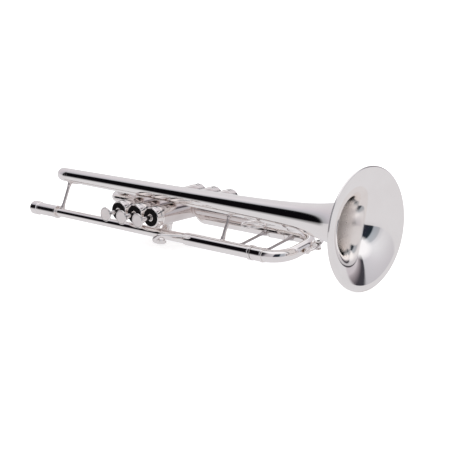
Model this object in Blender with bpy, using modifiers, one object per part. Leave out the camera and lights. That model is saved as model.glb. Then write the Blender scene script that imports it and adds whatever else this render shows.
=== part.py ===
"""Piston trumpet in B flat, lying on its right-hand side, as it is put down on a table.

Every size is in millimetres. Positions are counted from the point where the second valve's axis
crosses the height of the bell tube: X runs to the bell, -Y to the finger buttons and Z is up.
The empty trumpet_frame carries all the parts and puts the middle of the base at the world origin.
"""

import math

import bmesh
import bpy
from mathutils import Vector

MM = 0.001
GAP = 0.3                # clearance where one piece is cut to fit another
WALL = 0.7               # thickness of the drawn tubes

# --- driving dimensions -------------------------------------------------------------------------
VALVE_PITCH = 25.0
VALVES = {1: -VALVE_PITCH, 2: 0.0, 3: VALVE_PITCH}
STROKE = 15.5

BELL_Z = 20.9            # height of the bell tube's axis
BELL_X = 289.5           # plane of the rim
RIM_R = 61.5
RIM_BEAD_R = 1.3
THROAT_R = 5.0           # the flare is THROAT_R plus a power law of the distance to the rim
FLARE_LENGTH = 9.56
FLARE_POWER = 0.75
BOW_X = -141.0           # where the bell tube begins to bend
TAIL_Y, TAIL_Z = 54.0, 7.4
TAIL_R = 6.2

LEAD_Y, LEAD_Z = -16.0, -21.0
LEAD_REAR_R, LEAD_FRONT_R = 4.9, 5.6
RECEIVER_X = -189.8
RECEIVER_FRONT_X = -146.5
RECEIVER_R = 7.1
RECEIVER_RING_R = 8.1

LOWER_Y, LOWER_Z = 41.9, -12.1
SLEEVE_R = 6.8
SLEEVE_REAR_X = 60.0
UPPER_SLEEVE_X = 157.0
LOWER_SLEEVE_X = 134.0
ELBOW_LEAN = (0.48, 0.0, -0.88)  # the way the lower outer tube leaves the third valve
SLIDE_X = 195.0          # centre line of the tuning slide's front run
SLIDE_CORNER_R = 22.0
SLIDE_BOW_R = 6.5
FERRULE_R = 7.3

CASING_R = 10.8
CASING_BORE = 8.7
CASING_TOP, CASING_BOTTOM = -30.0, 94.5
TOP_CAP_FACE = -33.0
TOP_CAP_R = 11.6
BOTTOM_CAP_FACE = 98.7
BOTTOM_CAP_R = 11.2
PISTON_R = 8.35
PISTON_TOP, PISTON_BOTTOM = -27.0, 61.5
STEM_R = 2.4
FELT_R = 9.6
FELT_THICKNESS = 1.0
BUTTON_R = 7.9
BUTTON_THICKNESS = 3.5
BUTTON_FACE = TOP_CAP_FACE - FELT_THICKNESS - STROKE - BUTTON_THICKNESS - GAP

LEG_R = 5.1              # inner legs of the valve slides
CROOK_R = 5.7
LEG_SLEEVE_R = 6.25
FIRST_LEGS = (17.5, 40.5)
FIRST_SLEEVE_X, FIRST_BEND_X = -62.0, -77.0
SECOND_LEGS = (-2.0, 18.0)
SECOND_SLEEVE_Z, SECOND_BEND_Z = -18.4, -19.3
THIRD_LEGS = (27.0, 48.0)
THIRD_Z = 1.7
THIRD_SLEEVE_X, THIRD_BEND_X = 124.0, 166.0

REAR_BRACE_X = -140.0
FRONT_BRACE_X = 113.0
SLEEVE_BRACE_X = 128.8
SLIDE_BRACE_X = 164.6
ROD_R = 1.5

THIRD_THROW = 30.0
KEY_CORK_ANGLE = -14.0   # places round the tuning slide's lower corner, in degrees
KEY_PIVOT_ANGLE = 18.0
KEY_PIVOT_R = 34.0

BELL_RIM_DROP = RIM_R - BELL_Z  # the table lies this far below the valves' axes

FRAME_ORIGIN = (
    -(RECEIVER_X + BELL_X) / 2,
    -(BOTTOM_CAP_FACE - RIM_R) / 2,
    BELL_RIM_DROP,
)

COLOURS = {
    "silver_plate": ((0.86, 0.85, 0.85), 0.12, 1.0),
    "pearl": ((0.72, 0.70, 0.70), 0.25, 0.0),
    "black_felt": ((0.02, 0.02, 0.02), 0.95, 0.0),
    "cork": ((0.62, 0.44, 0.27), 0.85, 0.0),
    "spring_steel": ((0.45, 0.44, 0.43), 0.30, 1.0),
    "nickel": ((0.70, 0.69, 0.66), 0.20, 1.0),
}


# --- scene and materials ------------------------------------------------------------------------
def clear_scene():
    for old in list(bpy.data.objects):
        bpy.data.objects.remove(old, do_unlink=True)


def new_collection(name):
    collection = bpy.data.collections.new(name)
    bpy.context.scene.collection.children.link(collection)
    return collection


def material(node, kind):
    """A Principled material of its own for each sub-part."""
    colour, roughness, metallic = COLOURS[kind]
    made = bpy.data.materials.new(node + "_material")
    made.use_nodes = True
    shader = made.node_tree.nodes["Principled BSDF"]
    shader.inputs["Base Color"].default_value = (*colour, 1.0)
    shader.inputs["Roughness"].default_value = roughness
    shader.inputs["Metallic"].default_value = metallic
    return made


def add_part(name, data, kind, place=(0, 0, 0), turn=None):
    part = bpy.data.objects.new(name, data)
    PARTS.objects.link(part)
    part.parent = FRAME
    part.location = Vector(place) * MM
    if turn:
        part.rotation_mode = "QUATERNION"
        part.rotation_quaternion = turn
    part.data.materials.append(material(name, kind))
    return part


def add_cutter(name, mesh, place=(0, 0, 0), turn=None):
    cutter = bpy.data.objects.new(name, mesh)
    CUTTERS.objects.link(cutter)
    cutter.parent = FRAME
    cutter.location = Vector(place) * MM
    if turn:
        cutter.rotation_mode = "QUATERNION"
        cutter.rotation_quaternion = turn
    cutter.hide_render = True
    cutter.display_type = "WIRE"
    return cutter


# --- shapes -------------------------------------------------------------------------------------
def towards(direction):
    """The turn that takes a turned shape's own Z axis to a direction."""
    return Vector(direction).to_track_quat("Z", "Y")


def turned(name, profile, kind, place=(0, 0, 0), axis=(0, 0, 1), steps=20):
    """A turned shape: profile points (height, radius) run down the outer side and back up inside."""
    mesh = bpy.data.meshes.new(name)
    points = [(radius * MM, 0.0, height * MM) for height, radius in profile]
    edges = [(i, i + 1) for i in range(len(points) - 1)]
    if profile[0][1] > 0:
        edges.append((len(points) - 1, 0))
    mesh.from_pydata(points, edges, [])
    part = add_part(name, mesh, kind, place, towards(axis))
    screw = part.modifiers.new("turn", "SCREW")
    screw.steps = steps
    screw.render_steps = steps
    screw.use_merge_vertices = True
    screw.merge_threshold = 0.00001
    screw.use_smooth_shade = True
    return part


def pipe(name, length, outer, bore, kind, place, axis, steps=14):
    """A straight hollow pipe from place along axis."""
    profile = [(length, outer), (0, outer), (0, bore), (length, bore)]
    return turned(name, profile, kind, place, axis, steps)


def rounded_path(corners, radius, steps=6):
    """The points of a polyline whose inner corners are rounded to a radius."""
    points = [Vector(corners[0])]
    for before, corner, after in zip(corners, corners[1:], corners[2:]):
        corner = Vector(corner)
        inward = (Vector(before) - corner).normalized()
        outward = (Vector(after) - corner).normalized()
        half = inward.angle(outward) / 2
        centre = corner + (inward + outward).normalized() * (radius / math.sin(half))
        start = (corner + inward * (radius / math.tan(half)) - centre).normalized()
        end = (corner + outward * (radius / math.tan(half)) - centre).normalized()
        for i in range(steps + 1):
            points.append(centre + start.slerp(end, i / steps) * radius)
    points.append(Vector(corners[-1]))
    return points


def swept_curve(name, points, radii, sides_level):
    curve = bpy.data.curves.new(name, "CURVE")
    curve.dimensions = "3D"
    curve.bevel_depth = MM
    curve.bevel_resolution = sides_level
    spline = curve.splines.new("POLY")
    spline.points.add(len(points) - 1)
    for knot, point, radius in zip(spline.points, points, radii):
        knot.co = (*(Vector(point) * MM), 1.0)
        knot.radius = radius
    return curve


def curve_to_mesh(name, curve):
    """The evaluated mesh of a curve, with its caps welded on."""
    source = bpy.data.objects.new(name + "_source", curve)
    PARTS.objects.link(source)
    graph = bpy.context.evaluated_depsgraph_get()
    mesh = bpy.data.meshes.new_from_object(source.evaluated_get(graph))
    mesh.name = name
    bpy.data.objects.remove(source, do_unlink=True)
    shape = bmesh.new()
    shape.from_mesh(mesh)
    bmesh.ops.remove_doubles(shape, verts=shape.verts, dist=0.000001)
    shape.to_mesh(mesh)
    shape.free()
    mesh.shade_smooth()
    return mesh


def tube(name, points, radii, kind, place=(0, 0, 0), sides_level=3):
    """A thin-walled tube along a path; radii holds one radius, or one for each point."""
    if not isinstance(radii, (list, tuple)):
        radii = [radii] * len(points)
    mesh = curve_to_mesh(name, swept_curve(name, points, radii, sides_level))
    part = add_part(name, mesh, kind, place)
    wall = part.modifiers.new("wall", "SOLIDIFY")
    wall.thickness = WALL * MM
    wall.offset = -1.0
    return part


def rod(name, points, radii, kind, place=(0, 0, 0), sides_level=3):
    """A solid round rod along a path, with closed ends."""
    if not isinstance(radii, (list, tuple)):
        radii = [radii] * len(points)
    curve = swept_curve(name, points, radii, sides_level)
    curve.use_fill_caps = True
    mesh = curve_to_mesh(name, curve)
    return add_part(name, mesh, kind, place)


def cylinder_mesh(name, radius, length, sides=32):
    """A closed cylinder from height 0 to length, along its own Z axis."""
    shape = bmesh.new()
    bmesh.ops.create_cone(
        shape, cap_ends=True, segments=sides,
        radius1=radius * MM, radius2=radius * MM, depth=length * MM,
    )
    bmesh.ops.translate(shape, verts=shape.verts, vec=(0, 0, length * MM / 2))
    mesh = bpy.data.meshes.new(name)
    shape.to_mesh(mesh)
    shape.free()
    return mesh


def cylinder_cutter(name, radius, start, end, sides=32):
    """A hidden cylinder from start to end that cuts other parts."""
    start, end = Vector(start), Vector(end)
    mesh = cylinder_mesh(name, radius, (end - start).length, sides)
    return add_cutter(name, mesh, start, towards(end - start))


def cut(part, *cutters):
    for cutter in cutters:
        boolean = part.modifiers.new("cut_" + cutter.name, "BOOLEAN")
        boolean.operation = "DIFFERENCE"
        boolean.object = cutter


def join(part, *others):
    """Fuses other shapes into a part; they leave the model as cutters do."""
    for other in others:
        PARTS.objects.unlink(other)
        CUTTERS.objects.link(other)
        other.hide_render = True
        other.display_type = "WIRE"
        boolean = part.modifiers.new("join_" + other.name, "BOOLEAN")
        boolean.operation = "UNION"
        boolean.object = other


# --- bell ---------------------------------------------------------------------------------------
def bell_radius(x):
    reach = (BELL_X + FLARE_LENGTH - x) / FLARE_LENGTH
    return THROAT_R + (RIM_R - RIM_BEAD_R - THROAT_R) * reach ** -FLARE_POWER


def bell_slope(x):
    reach = (BELL_X + FLARE_LENGTH - x) / FLARE_LENGTH
    rise = (RIM_R - RIM_BEAD_R - THROAT_R) * FLARE_POWER / FLARE_LENGTH
    return rise * reach ** (-FLARE_POWER - 1)


def bell_stations(first_step=1.2, count=14):
    """Places along the bell from the rim back to the bow, wider apart away from the rim."""
    span = BELL_X - BOW_X
    growth = (span / first_step) ** (1 / (count - 1))
    return [BELL_X - RIM_BEAD_R - first_step * growth ** i for i in range(count - 1)] + [BOW_X + GAP]


def make_bell():
    outer, inner = [], []
    for x in bell_stations():
        slope = bell_slope(x)
        lean = math.hypot(slope, 1.0)
        outer.append((x, bell_radius(x)))
        inner.append((x + WALL * slope / lean, bell_radius(x) - WALL / lean))
    bead_centre = (BELL_X - RIM_BEAD_R, RIM_R - RIM_BEAD_R)
    bead = []
    for degrees in range(-45, 181, 45):
        angle = math.radians(degrees)
        bead.append((
            bead_centre[0] + RIM_BEAD_R * math.cos(angle),
            bead_centre[1] + RIM_BEAD_R * math.sin(angle),
        ))
    profile = bead[1:] + outer + list(reversed(inner)) + [bead[0]]
    turned("bell", profile, "silver_plate", (0, 0, BELL_Z), (1, 0, 0), steps=24)


def make_bell_bow():
    """The U-bend behind the bell, and the tail that runs forward into the first valve."""
    straight = 1.5
    top = Vector((BOW_X - straight, 0, BELL_Z))
    bottom = Vector((BOW_X - straight, TAIL_Y, TAIL_Z))
    middle = (top + bottom) / 2
    reach = (top - bottom).length / 2
    arc_steps = 10
    points = [top + Vector((straight, 0, 0))]
    radii = [bell_radius(BOW_X)]
    for i in range(arc_steps + 1):
        angle = math.pi * i / arc_steps
        share = i / arc_steps
        back = Vector((-reach * math.sin(angle), 0, 0))
        points.append(middle + (top - middle) * math.cos(angle) + back)
        radii.append(bell_radius(BOW_X) * (1 - share) + TAIL_R * share)
    for x, z in ((-62, TAIL_Z), (-48, 6.6), (-VALVE_PITCH, 4.5)):
        points.append(Vector((x, TAIL_Y, z)))
        radii.append(TAIL_R)
    bow = tube("bell_bow", points, radii, "silver_plate")
    cut(bow, CASING_CUTTERS[1])


# --- leadpipe and main tuning slide -------------------------------------------------------------
def make_receiver():
    """The mouthpiece socket, with a heavy ring at its open end and a slight bead at its front."""
    length = RECEIVER_FRONT_X - RECEIVER_X
    ring = 11.0
    stop = 26.0
    mouth, throat = 5.6, 4.6
    profile = [
        (length, RECEIVER_R + 0.3),
        (length - 3, RECEIVER_R + 0.3),
        (length - 3.4, RECEIVER_R),
        (ring, RECEIVER_R),
        (ring - 0.8, RECEIVER_RING_R),
        (1.0, RECEIVER_RING_R),
        (0, RECEIVER_RING_R - 0.8),
        (0, mouth),
        (stop, throat),
        (stop, LEAD_REAR_R + GAP),
        (length, LEAD_REAR_R + GAP),
    ]
    turned("mouthpiece_receiver", profile, "silver_plate", (RECEIVER_X, LEAD_Y, LEAD_Z), (1, 0, 0), 16)


def make_leadpipe():
    start = RECEIVER_X + 26.5
    length = SLEEVE_REAR_X + 2.0 - start
    profile = [
        (length, LEAD_FRONT_R),
        (0, LEAD_REAR_R),
        (0, LEAD_REAR_R - WALL),
        (length, LEAD_FRONT_R - WALL),
    ]
    turned("leadpipe", profile, "silver_plate", (start, LEAD_Y, LEAD_Z), (1, 0, 0), 16)


def make_upper_sleeve():
    """Outer tube of the tuning slide, from the leadpipe to its thick end ring."""
    length = UPPER_SLEEVE_X - SLEEVE_REAR_X
    ring = 4.5
    bore = SLEEVE_R - 0.45
    profile = [
        (length, SLEEVE_R + 1.0),
        (length - ring, SLEEVE_R + 1.0),
        (length - ring - 0.4, SLEEVE_R),
        (5.0, SLEEVE_R),
        (0, LEAD_FRONT_R + 0.9),
        (0, LEAD_FRONT_R + GAP),
        (3.0, LEAD_FRONT_R + GAP),
        (3.5, bore),
        (length, bore),
    ]
    place = (SLEEVE_REAR_X, LEAD_Y, LEAD_Z)
    turned("upper_slide_sleeve", profile, "silver_plate", place, (1, 0, 0), 16)


def make_lower_sleeve():
    """Outer tube of the tuning slide's lower leg, with the elbow into the third valve."""
    ring = 1.0
    corners = [
        (VALVES[3], LOWER_Y, 0.0),
        (VALVES[3] + LOWER_Z * ELBOW_LEAN[0] / ELBOW_LEAN[2], LOWER_Y, LOWER_Z),
        (LOWER_SLEEVE_X - ring - 0.4, LOWER_Y, LOWER_Z),
    ]
    points = rounded_path(corners, 9.0, steps=5)
    radii = [SLEEVE_R] * len(points)
    for x, radius in ((LOWER_SLEEVE_X - ring, SLEEVE_R + 0.7), (LOWER_SLEEVE_X, SLEEVE_R + 0.7)):
        points.append(Vector((x, LOWER_Y, LOWER_Z)))
        radii.append(radius)
    sleeve = tube("lower_slide_sleeve", points, radii, "silver_plate")
    sleeve.modifiers["wall"].thickness = 0.45 * MM
    cut(sleeve, CASING_CUTTERS[3])


def slide_direction():
    """The unit vector across the tuning slide, from its upper leg to its lower one."""
    return Vector((0, LOWER_Y - LEAD_Y, LOWER_Z - LEAD_Z)).normalized()


def make_main_slide():
    """The bow and its two inner legs, drawn from one tube, with ferrules where the legs begin."""
    upper = Vector((0, LEAD_Y, LEAD_Z))
    lower = Vector((0, LOWER_Y, LOWER_Z))
    leg_r = SLEEVE_R - 0.45 - 0.45
    upper_end, lower_end = 84.0, 66.0
    upper_ferrule, lower_ferrule = 15.0, 20.5
    rounded = rounded_path(
        [
            upper + Vector((UPPER_SLEEVE_X + upper_ferrule + 0.6, 0, 0)),
            upper + Vector((SLIDE_X, 0, 0)),
            lower + Vector((SLIDE_X, 0, 0)),
            lower + Vector((LOWER_SLEEVE_X + lower_ferrule + 0.6, 0, 0)),
        ],
        SLIDE_CORNER_R, steps=6,
    )
    start = UPPER_SLEEVE_X + GAP
    finish = LOWER_SLEEVE_X + GAP
    before = [
        (upper_end, leg_r), (start, leg_r), (start + GAP, FERRULE_R),
        (start + upper_ferrule, FERRULE_R),
    ]
    after = [
        (finish + lower_ferrule, FERRULE_R), (finish + GAP, FERRULE_R),
        (finish, leg_r), (lower_end, leg_r),
    ]
    points = [upper + Vector((x, 0, 0)) for x, _ in before] + rounded
    points += [lower + Vector((x, 0, 0)) for x, _ in after]
    radii = [r for _, r in before] + [SLIDE_BOW_R] * len(rounded) + [r for _, r in after]
    tube("main_slide_bow", points, radii, "silver_plate")


# --- valves -------------------------------------------------------------------------------------
def make_casing(number):
    """A valve casing with its bore, its threaded ends and a hole for every tube that meets it."""
    length = CASING_BOTTOM - CASING_TOP
    thread = 8.0
    thread_r = 9.9
    profile = [
        (length, thread_r),
        (length - thread, thread_r),
        (length - thread, CASING_R),
        (thread, CASING_R),
        (thread, thread_r),
        (0, thread_r),
        (0, CASING_BORE),
        (length, CASING_BORE),
    ]
    place = (VALVES[number], CASING_TOP, 0)
    casing = turned("valve_casing_%d" % number, profile, "silver_plate", place, (0, 1, 0), 18)
    for index, (port, direction) in enumerate(PORTS[number]):
        start = Vector((VALVES[number], port, 0))
        end = start + Vector(direction) * (CASING_R + 2)
        name = "port_cutter_%d_%d" % (number, index)
        cut(casing, cylinder_cutter(name, LEG_R, start, end, 10))


def make_knuckle(first):
    """The short tube that carries the air from one casing to the next."""
    start = (VALVES[first] + 4, KNUCKLE_Y[first], 0)
    name = "knuckle_%d_to_%d" % (first, first + 1)
    knuckle = pipe(name, VALVE_PITCH - 8, 5.8, LEG_R, "silver_plate", start, (1, 0, 0))
    cut(knuckle, CASING_CUTTERS[first], CASING_CUTTERS[first + 1])


def make_top_cap(number):
    """Threaded cap with a flat face, a low collar and a hole for the stem."""
    height = 10.7
    floor = CASING_TOP - TOP_CAP_FACE - GAP
    profile = [
        (height, TOP_CAP_R),
        (0.9, TOP_CAP_R),
        (0, TOP_CAP_R - 0.9),
        (0, 4.4),
        (-0.6, 4.4),
        (-0.6, STEM_R + GAP),
        (floor, STEM_R + GAP),
        (floor, 10.2),
        (height, 10.2),
    ]
    place = (VALVES[number], TOP_CAP_FACE, 0)
    turned("top_cap_%d" % number, profile, "silver_plate", place, (0, 1, 0), 16)


def make_top_felt(number):
    """Felt ring on the cap's face, round its collar, that quiets the finger button."""
    place = (VALVES[number], TOP_CAP_FACE - FELT_THICKNESS, 0)
    length = FELT_THICKNESS - 0.05
    pipe("top_felt_%d" % number, length, FELT_R, 4.4 + GAP, "black_felt", place, (0, 1, 0), 16)


def make_bottom_cap(number):
    """Threaded bottom cap with a vent hole in its flat face."""
    height = 12.0
    vent = 2.5
    floor = 2.2
    profile = [
        (height, vent),
        (height, BOTTOM_CAP_R - 1.0),
        (height - 0.9, BOTTOM_CAP_R),
        (0, BOTTOM_CAP_R),
        (0, 10.2),
        (height - floor - 1.7, 10.2),
        (height - floor - 1.7, vent + 4.5),
        (height - floor, vent + 4.5),
        (height - floor, vent),
    ]
    place = (VALVES[number], BOTTOM_CAP_FACE - height, 0)
    turned("bottom_cap_%d" % number, profile, "silver_plate", place, (0, 1, 0), 16)


def make_piston(number):
    """Ported piston: closed at the top, where the stem screws in, and open below for the spring."""
    length = PISTON_BOTTOM - PISTON_TOP
    cup = 8.0
    profile = [
        (length - cup, 0),
        (length - cup, 6.4),
        (length, 6.4),
        (length, PISTON_R),
        (0, PISTON_R),
        (0, 0),
    ]
    place = (VALVES[number], PISTON_TOP, 0)
    piston = turned("piston_%d" % number, profile, "nickel", place, (0, 1, 0), 16)
    for index, (y, direction) in enumerate(PORTS[number]):
        start = Vector((VALVES[number], y, 0)) - Vector(direction) * (PISTON_R + 1)
        end = Vector((VALVES[number], y, 0)) + Vector(direction) * (PISTON_R + 1)
        name = "piston_cutter_%d_%d" % (number, index)
        if y < PISTON_BOTTOM - cup - LEG_R:
            cut(piston, cylinder_cutter(name, LEG_R - 0.6, start, end, 10))


def make_stem(number):
    """Stem from the piston to the finger button, with a shoulder under the top cap."""
    bottom = PISTON_TOP - GAP
    top = BUTTON_FACE + BUTTON_THICKNESS + GAP
    length = bottom - top
    profile = [
        (length, 0),
        (length, 6.0),
        (length - 2.5, 6.0),
        (length - 2.8, STEM_R),
        (0, STEM_R),
        (0, 0),
    ]
    turned("valve_stem_%d" % number, profile, "silver_plate", (VALVES[number], top, 0), (0, 1, 0), 12)


def make_button(number):
    """Dished finger button with a rim that holds the pearl inlay."""
    inlay_r = BUTTON_R - 1.1
    inlay_depth = 1.3
    profile = [
        (BUTTON_THICKNESS, 0),
        (BUTTON_THICKNESS, 3.6),
        (BUTTON_THICKNESS - 0.9, BUTTON_R - 1.4),
        (BUTTON_THICKNESS - 1.7, BUTTON_R),
        (0.6, BUTTON_R),
        (0, BUTTON_R - 0.6),
        (0, inlay_r + 0.2),
        (inlay_depth, inlay_r + 0.2),
        (inlay_depth, 0),
    ]
    place = (VALVES[number], BUTTON_FACE, 0)
    turned("finger_button_%d" % number, profile, "silver_plate", place, (0, 1, 0), 16)
    pearl = [
        (inlay_depth - 0.1, 0),
        (inlay_depth - 0.1, inlay_r - 0.1),
        (0.3, inlay_r - 0.1),
        (0.15, 0),
    ]
    turned("button_pearl_%d" % number, pearl, "pearl", place, (0, 1, 0), 16)


def make_valve_spring(number):
    """Coil spring between the piston and the bottom cap."""
    start = PISTON_BOTTOM - 8.0 + 1.1
    end = BOTTOM_CAP_FACE - 3.9 - 1.0
    turns, per_turn = 6, 7
    coil_r = 5.2
    points = []
    for i in range(turns * per_turn + 1):
        angle = 2 * math.pi * i / per_turn
        height = start + (end - start) * i / (turns * per_turn)
        points.append((coil_r * math.cos(angle), height, coil_r * math.sin(angle)))
    rod("valve_spring_%d" % number, points, 0.55, "spring_steel", (VALVES[number], 0, 0), sides_level=0)


# --- valve slides -------------------------------------------------------------------------------
def u_path(axis, legs, inside, sleeve_end, bend):
    """Path and radii of a valve slide: a thin leg in its sleeve, a round crook, and the leg back.

    The legs lie at two places along Y. inside, sleeve_end and bend are distances along axis.
    """
    axis = Vector(axis)
    half = (legs[1] - legs[0]) / 2
    middle = Vector((0, (legs[1] + legs[0]) / 2, 0))
    arc_steps = 8
    legs_out = [(inside, LEG_R), (sleeve_end + GAP, LEG_R), (sleeve_end + 2 * GAP, CROOK_R)]
    points = [middle - Vector((0, half, 0)) + axis * reach for reach, _ in legs_out]
    radii = [radius for _, radius in legs_out]
    for i in range(arc_steps + 1):
        angle = math.pi * i / arc_steps
        across = Vector((0, -half * math.cos(angle), 0))
        points.append(middle + across + axis * (bend + half * math.sin(angle)))
        radii.append(CROOK_R)
    points += [middle + Vector((0, half, 0)) + axis * reach for reach, _ in reversed(legs_out)]
    radii += [radius for _, radius in reversed(legs_out)]
    return points, radii


def sleeve(name, start, axis, length):
    """Outer tube of a valve slide."""
    return pipe(name, length, LEG_SLEEVE_R, LEG_R + 0.4, "silver_plate", start, axis)


def tied_sleeves(name, legs, start, axis, length, tie_reach, cutter):
    """Two outer tubes and the cross tie between them, as one piece.

    start is on the valve's axis, and tie_reach is how far along axis from it the tie stands.
    """
    start, axis = Vector(start), Vector(axis)
    upper = sleeve(name, start + Vector((0, legs[0], 0)), axis, length)
    lower = sleeve(name + "_lower", start + Vector((0, legs[1], 0)), axis, length)
    tie_start = start + axis * tie_reach + Vector((0, legs[0] + LEG_SLEEVE_R - 0.4, 0))
    tie_length = legs[1] - legs[0] - 2 * LEG_SLEEVE_R + 0.8
    tie = turned(
        name + "_tie", [(tie_length, 0), (tie_length, ROD_R), (0, ROD_R), (0, 0)],
        "silver_plate", tie_start, (0, 1, 0), 10,
    )
    join(upper, tie, lower)
    cut(upper, cutter)


def make_first_slide():
    start_x = VALVES[1] - 4
    length = start_x - FIRST_SLEEVE_X
    tied_sleeves(
        "first_slide_sleeves", FIRST_LEGS, (start_x, 0, 0), (-1, 0, 0), length, 18, CASING_CUTTERS[1])
    points, radii = u_path(
        (-1, 0, 0), FIRST_LEGS, CASING_R - VALVES[1] + 2, -FIRST_SLEEVE_X, -FIRST_BEND_X)
    tube("first_slide_crook", points, radii, "silver_plate")


def make_second_slide():
    for side, y in zip(("upper", "lower"), SECOND_LEGS):
        name = "second_slide_sleeve_" + side
        cut(sleeve(name, (0, y, -4), (0, 0, -1), -SECOND_SLEEVE_Z - 4), CASING_CUTTERS[2])
    points, radii = u_path((0, 0, -1), SECOND_LEGS, CASING_R + 0.9, -SECOND_SLEEVE_Z, -SECOND_BEND_Z)
    tube("second_slide_crook", points, radii, "silver_plate")


def make_third_slide():
    start_x = VALVES[3] + 4
    length = THIRD_SLEEVE_X - start_x
    tied_sleeves(
        "third_slide_sleeves", THIRD_LEGS, (start_x, 0, THIRD_Z), (1, 0, 0), length, 40, CASING_CUTTERS[3])
    points, radii = u_path(
        (1, 0, 0), THIRD_LEGS, VALVES[3] + CASING_R + 12, THIRD_SLEEVE_X, THIRD_BEND_X)
    tube("third_slide_crook", points, radii, "silver_plate", (0, 0, THIRD_Z))


# --- braces and small fittings ------------------------------------------------------------------
def brace(name, start, end, start_r, end_r, cutters, foot_r=3.8):
    """A rod between two tube axes with a spreading foot cut to fit the tube at each end."""
    start, end = Vector(start), Vector(end)
    length = (end - start).length
    near, far = start_r - 1.5, length - end_r + 1.5
    profile = [
        (far, 0),
        (far, foot_r),
        (far - 2.2, foot_r - 0.4),
        (far - 4.2, ROD_R),
        (near + 4.2, ROD_R),
        (near + 2.2, foot_r - 0.4),
        (near, foot_r),
        (near, 0),
    ]
    rod_piece = turned(name, profile, "silver_plate", start, end - start, 12)
    cut(rod_piece, *cutters)


def make_braces():
    bell = (0, BELL_Z)
    lead = (LEAD_Y, LEAD_Z)
    lower = (LOWER_Y, LOWER_Z)
    sizes = {
        "rear_brace": (REAR_BRACE_X, bell, lead, bell_radius(BOW_X), LEAD_REAR_R + 0.2),
        "front_brace": (FRONT_BRACE_X, bell, lead, bell_radius(FRONT_BRACE_X), SLEEVE_R),
        "sleeve_brace": (SLEEVE_BRACE_X, lead, lower, SLEEVE_R, SLEEVE_R),
        "slide_brace": (SLIDE_BRACE_X, lead, lower, FERRULE_R, SLIDE_BOW_R),
    }
    for name, (x, start, end, start_r, end_r) in sizes.items():
        half = 8.0
        cutters = []
        for side, (y, z), radius in (("start", start, start_r), ("end", end, end_r)):
            cutters.append(cylinder_cutter(
                "%s_%s_cutter" % (name, side), radius + GAP, (x - half, y, z), (x + half, y, z), 24))
        brace(name, (x, *start), (x, *end), start_r, end_r, cutters)


def make_finger_hook():
    """Hook for the little finger, standing on the tuning slide's outer tube."""
    foot_x = SLEEVE_REAR_X + 6.0
    points = rounded_path(
        [
            (foot_x + 4.0, LEAD_Y - 6.3, LEAD_Z + 3.8),
            (foot_x - 2.0, LEAD_Y - 8.2, LEAD_Z + 4.2),
            (foot_x - 20.0, LEAD_Y - 24.5, LEAD_Z + 5.0),
            (foot_x - 28.0, LEAD_Y - 26.0, LEAD_Z),
            (foot_x - 28.0, LEAD_Y - 18.0, LEAD_Z - 2.5),
            (foot_x - 24.0, LEAD_Y - 12.5, LEAD_Z - 3.0),
        ],
        3.6, steps=3,
    )
    radii = [2.0] * (len(points) - 1) + [2.4]
    hook = rod("finger_hook", points, radii, "silver_plate", sides_level=2)
    sleeve_cutter = cylinder_cutter(
        "finger_hook_cutter", SLEEVE_R + GAP, (foot_x - 20, LEAD_Y, LEAD_Z), (foot_x + 20, LEAD_Y, LEAD_Z))
    cut(hook, sleeve_cutter)


def make_pull_knob():
    """Round knob on the crook of the second slide."""
    middle = (SECOND_LEGS[0] + SECOND_LEGS[1]) / 2
    crook = -SECOND_BEND_Z + (SECOND_LEGS[1] - SECOND_LEGS[0]) / 2 + CROOK_R - 0.4
    profile = [
        (BELL_RIM_DROP - 0.4, 0),
        (BELL_RIM_DROP - 0.4, 4.4),
        (BELL_RIM_DROP - 1.6, 5.5),
        (crook + 2.6, 5.5),
        (crook + 1.6, 3.0),
        (crook - 1.5, 3.0),
        (crook - 1.5, 0),
    ]
    knob = turned("pull_knob", profile, "silver_plate", (0, middle, 0), (0, 0, -1), 16)
    half = CROOK_R + 6
    crook_z = SECOND_BEND_Z - (SECOND_LEGS[1] - SECOND_LEGS[0]) / 2
    crook_cutter = cylinder_cutter(
        "pull_knob_cutter", CROOK_R + GAP, (0, middle - half, crook_z), (0, middle + half, crook_z))
    cut(knob, crook_cutter)


def strip(name, outline, width, thickness, kind, place):
    """A bent metal strip: a line of points in the XZ plane, width across Y."""
    shape = bmesh.new()
    rows = []
    for y in (-width / 2, width / 2):
        rows.append([shape.verts.new((x * MM, y * MM, z * MM)) for x, z in outline])
    for i in range(len(outline) - 1):
        shape.faces.new((rows[0][i], rows[0][i + 1], rows[1][i + 1], rows[1][i]))
    mesh = bpy.data.meshes.new(name)
    shape.to_mesh(mesh)
    shape.free()
    bent = add_part(name, mesh, kind, place)
    wall = bent.modifiers.new("wall", "SOLIDIFY")
    wall.thickness = thickness * MM
    wall.offset = 0.0
    return bent


def make_thumb_saddle():
    """U-shaped saddle for the thumb, on the side of the first slide's upper leg that faces the bell."""
    middle_x = (FIRST_SLEEVE_X + FIRST_BEND_X) / 2
    thickness = 1.2
    base_z = CROOK_R + GAP + thickness / 2
    half_width, depth, rise = 7.5, 13.0, 3.5
    outline = [(-half_width - 1.5, depth), (-half_width, depth / 2)]
    for degrees in range(180, -1, -30):
        angle = math.radians(degrees)
        outline.append((half_width * math.cos(angle), rise - rise * math.sin(angle)))
    outline += [(half_width, depth / 2), (half_width + 1.5, depth)]
    strip("thumb_saddle", outline, 11.0, thickness, "silver_plate", (middle_x, FIRST_LEGS[0], base_z))


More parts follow.
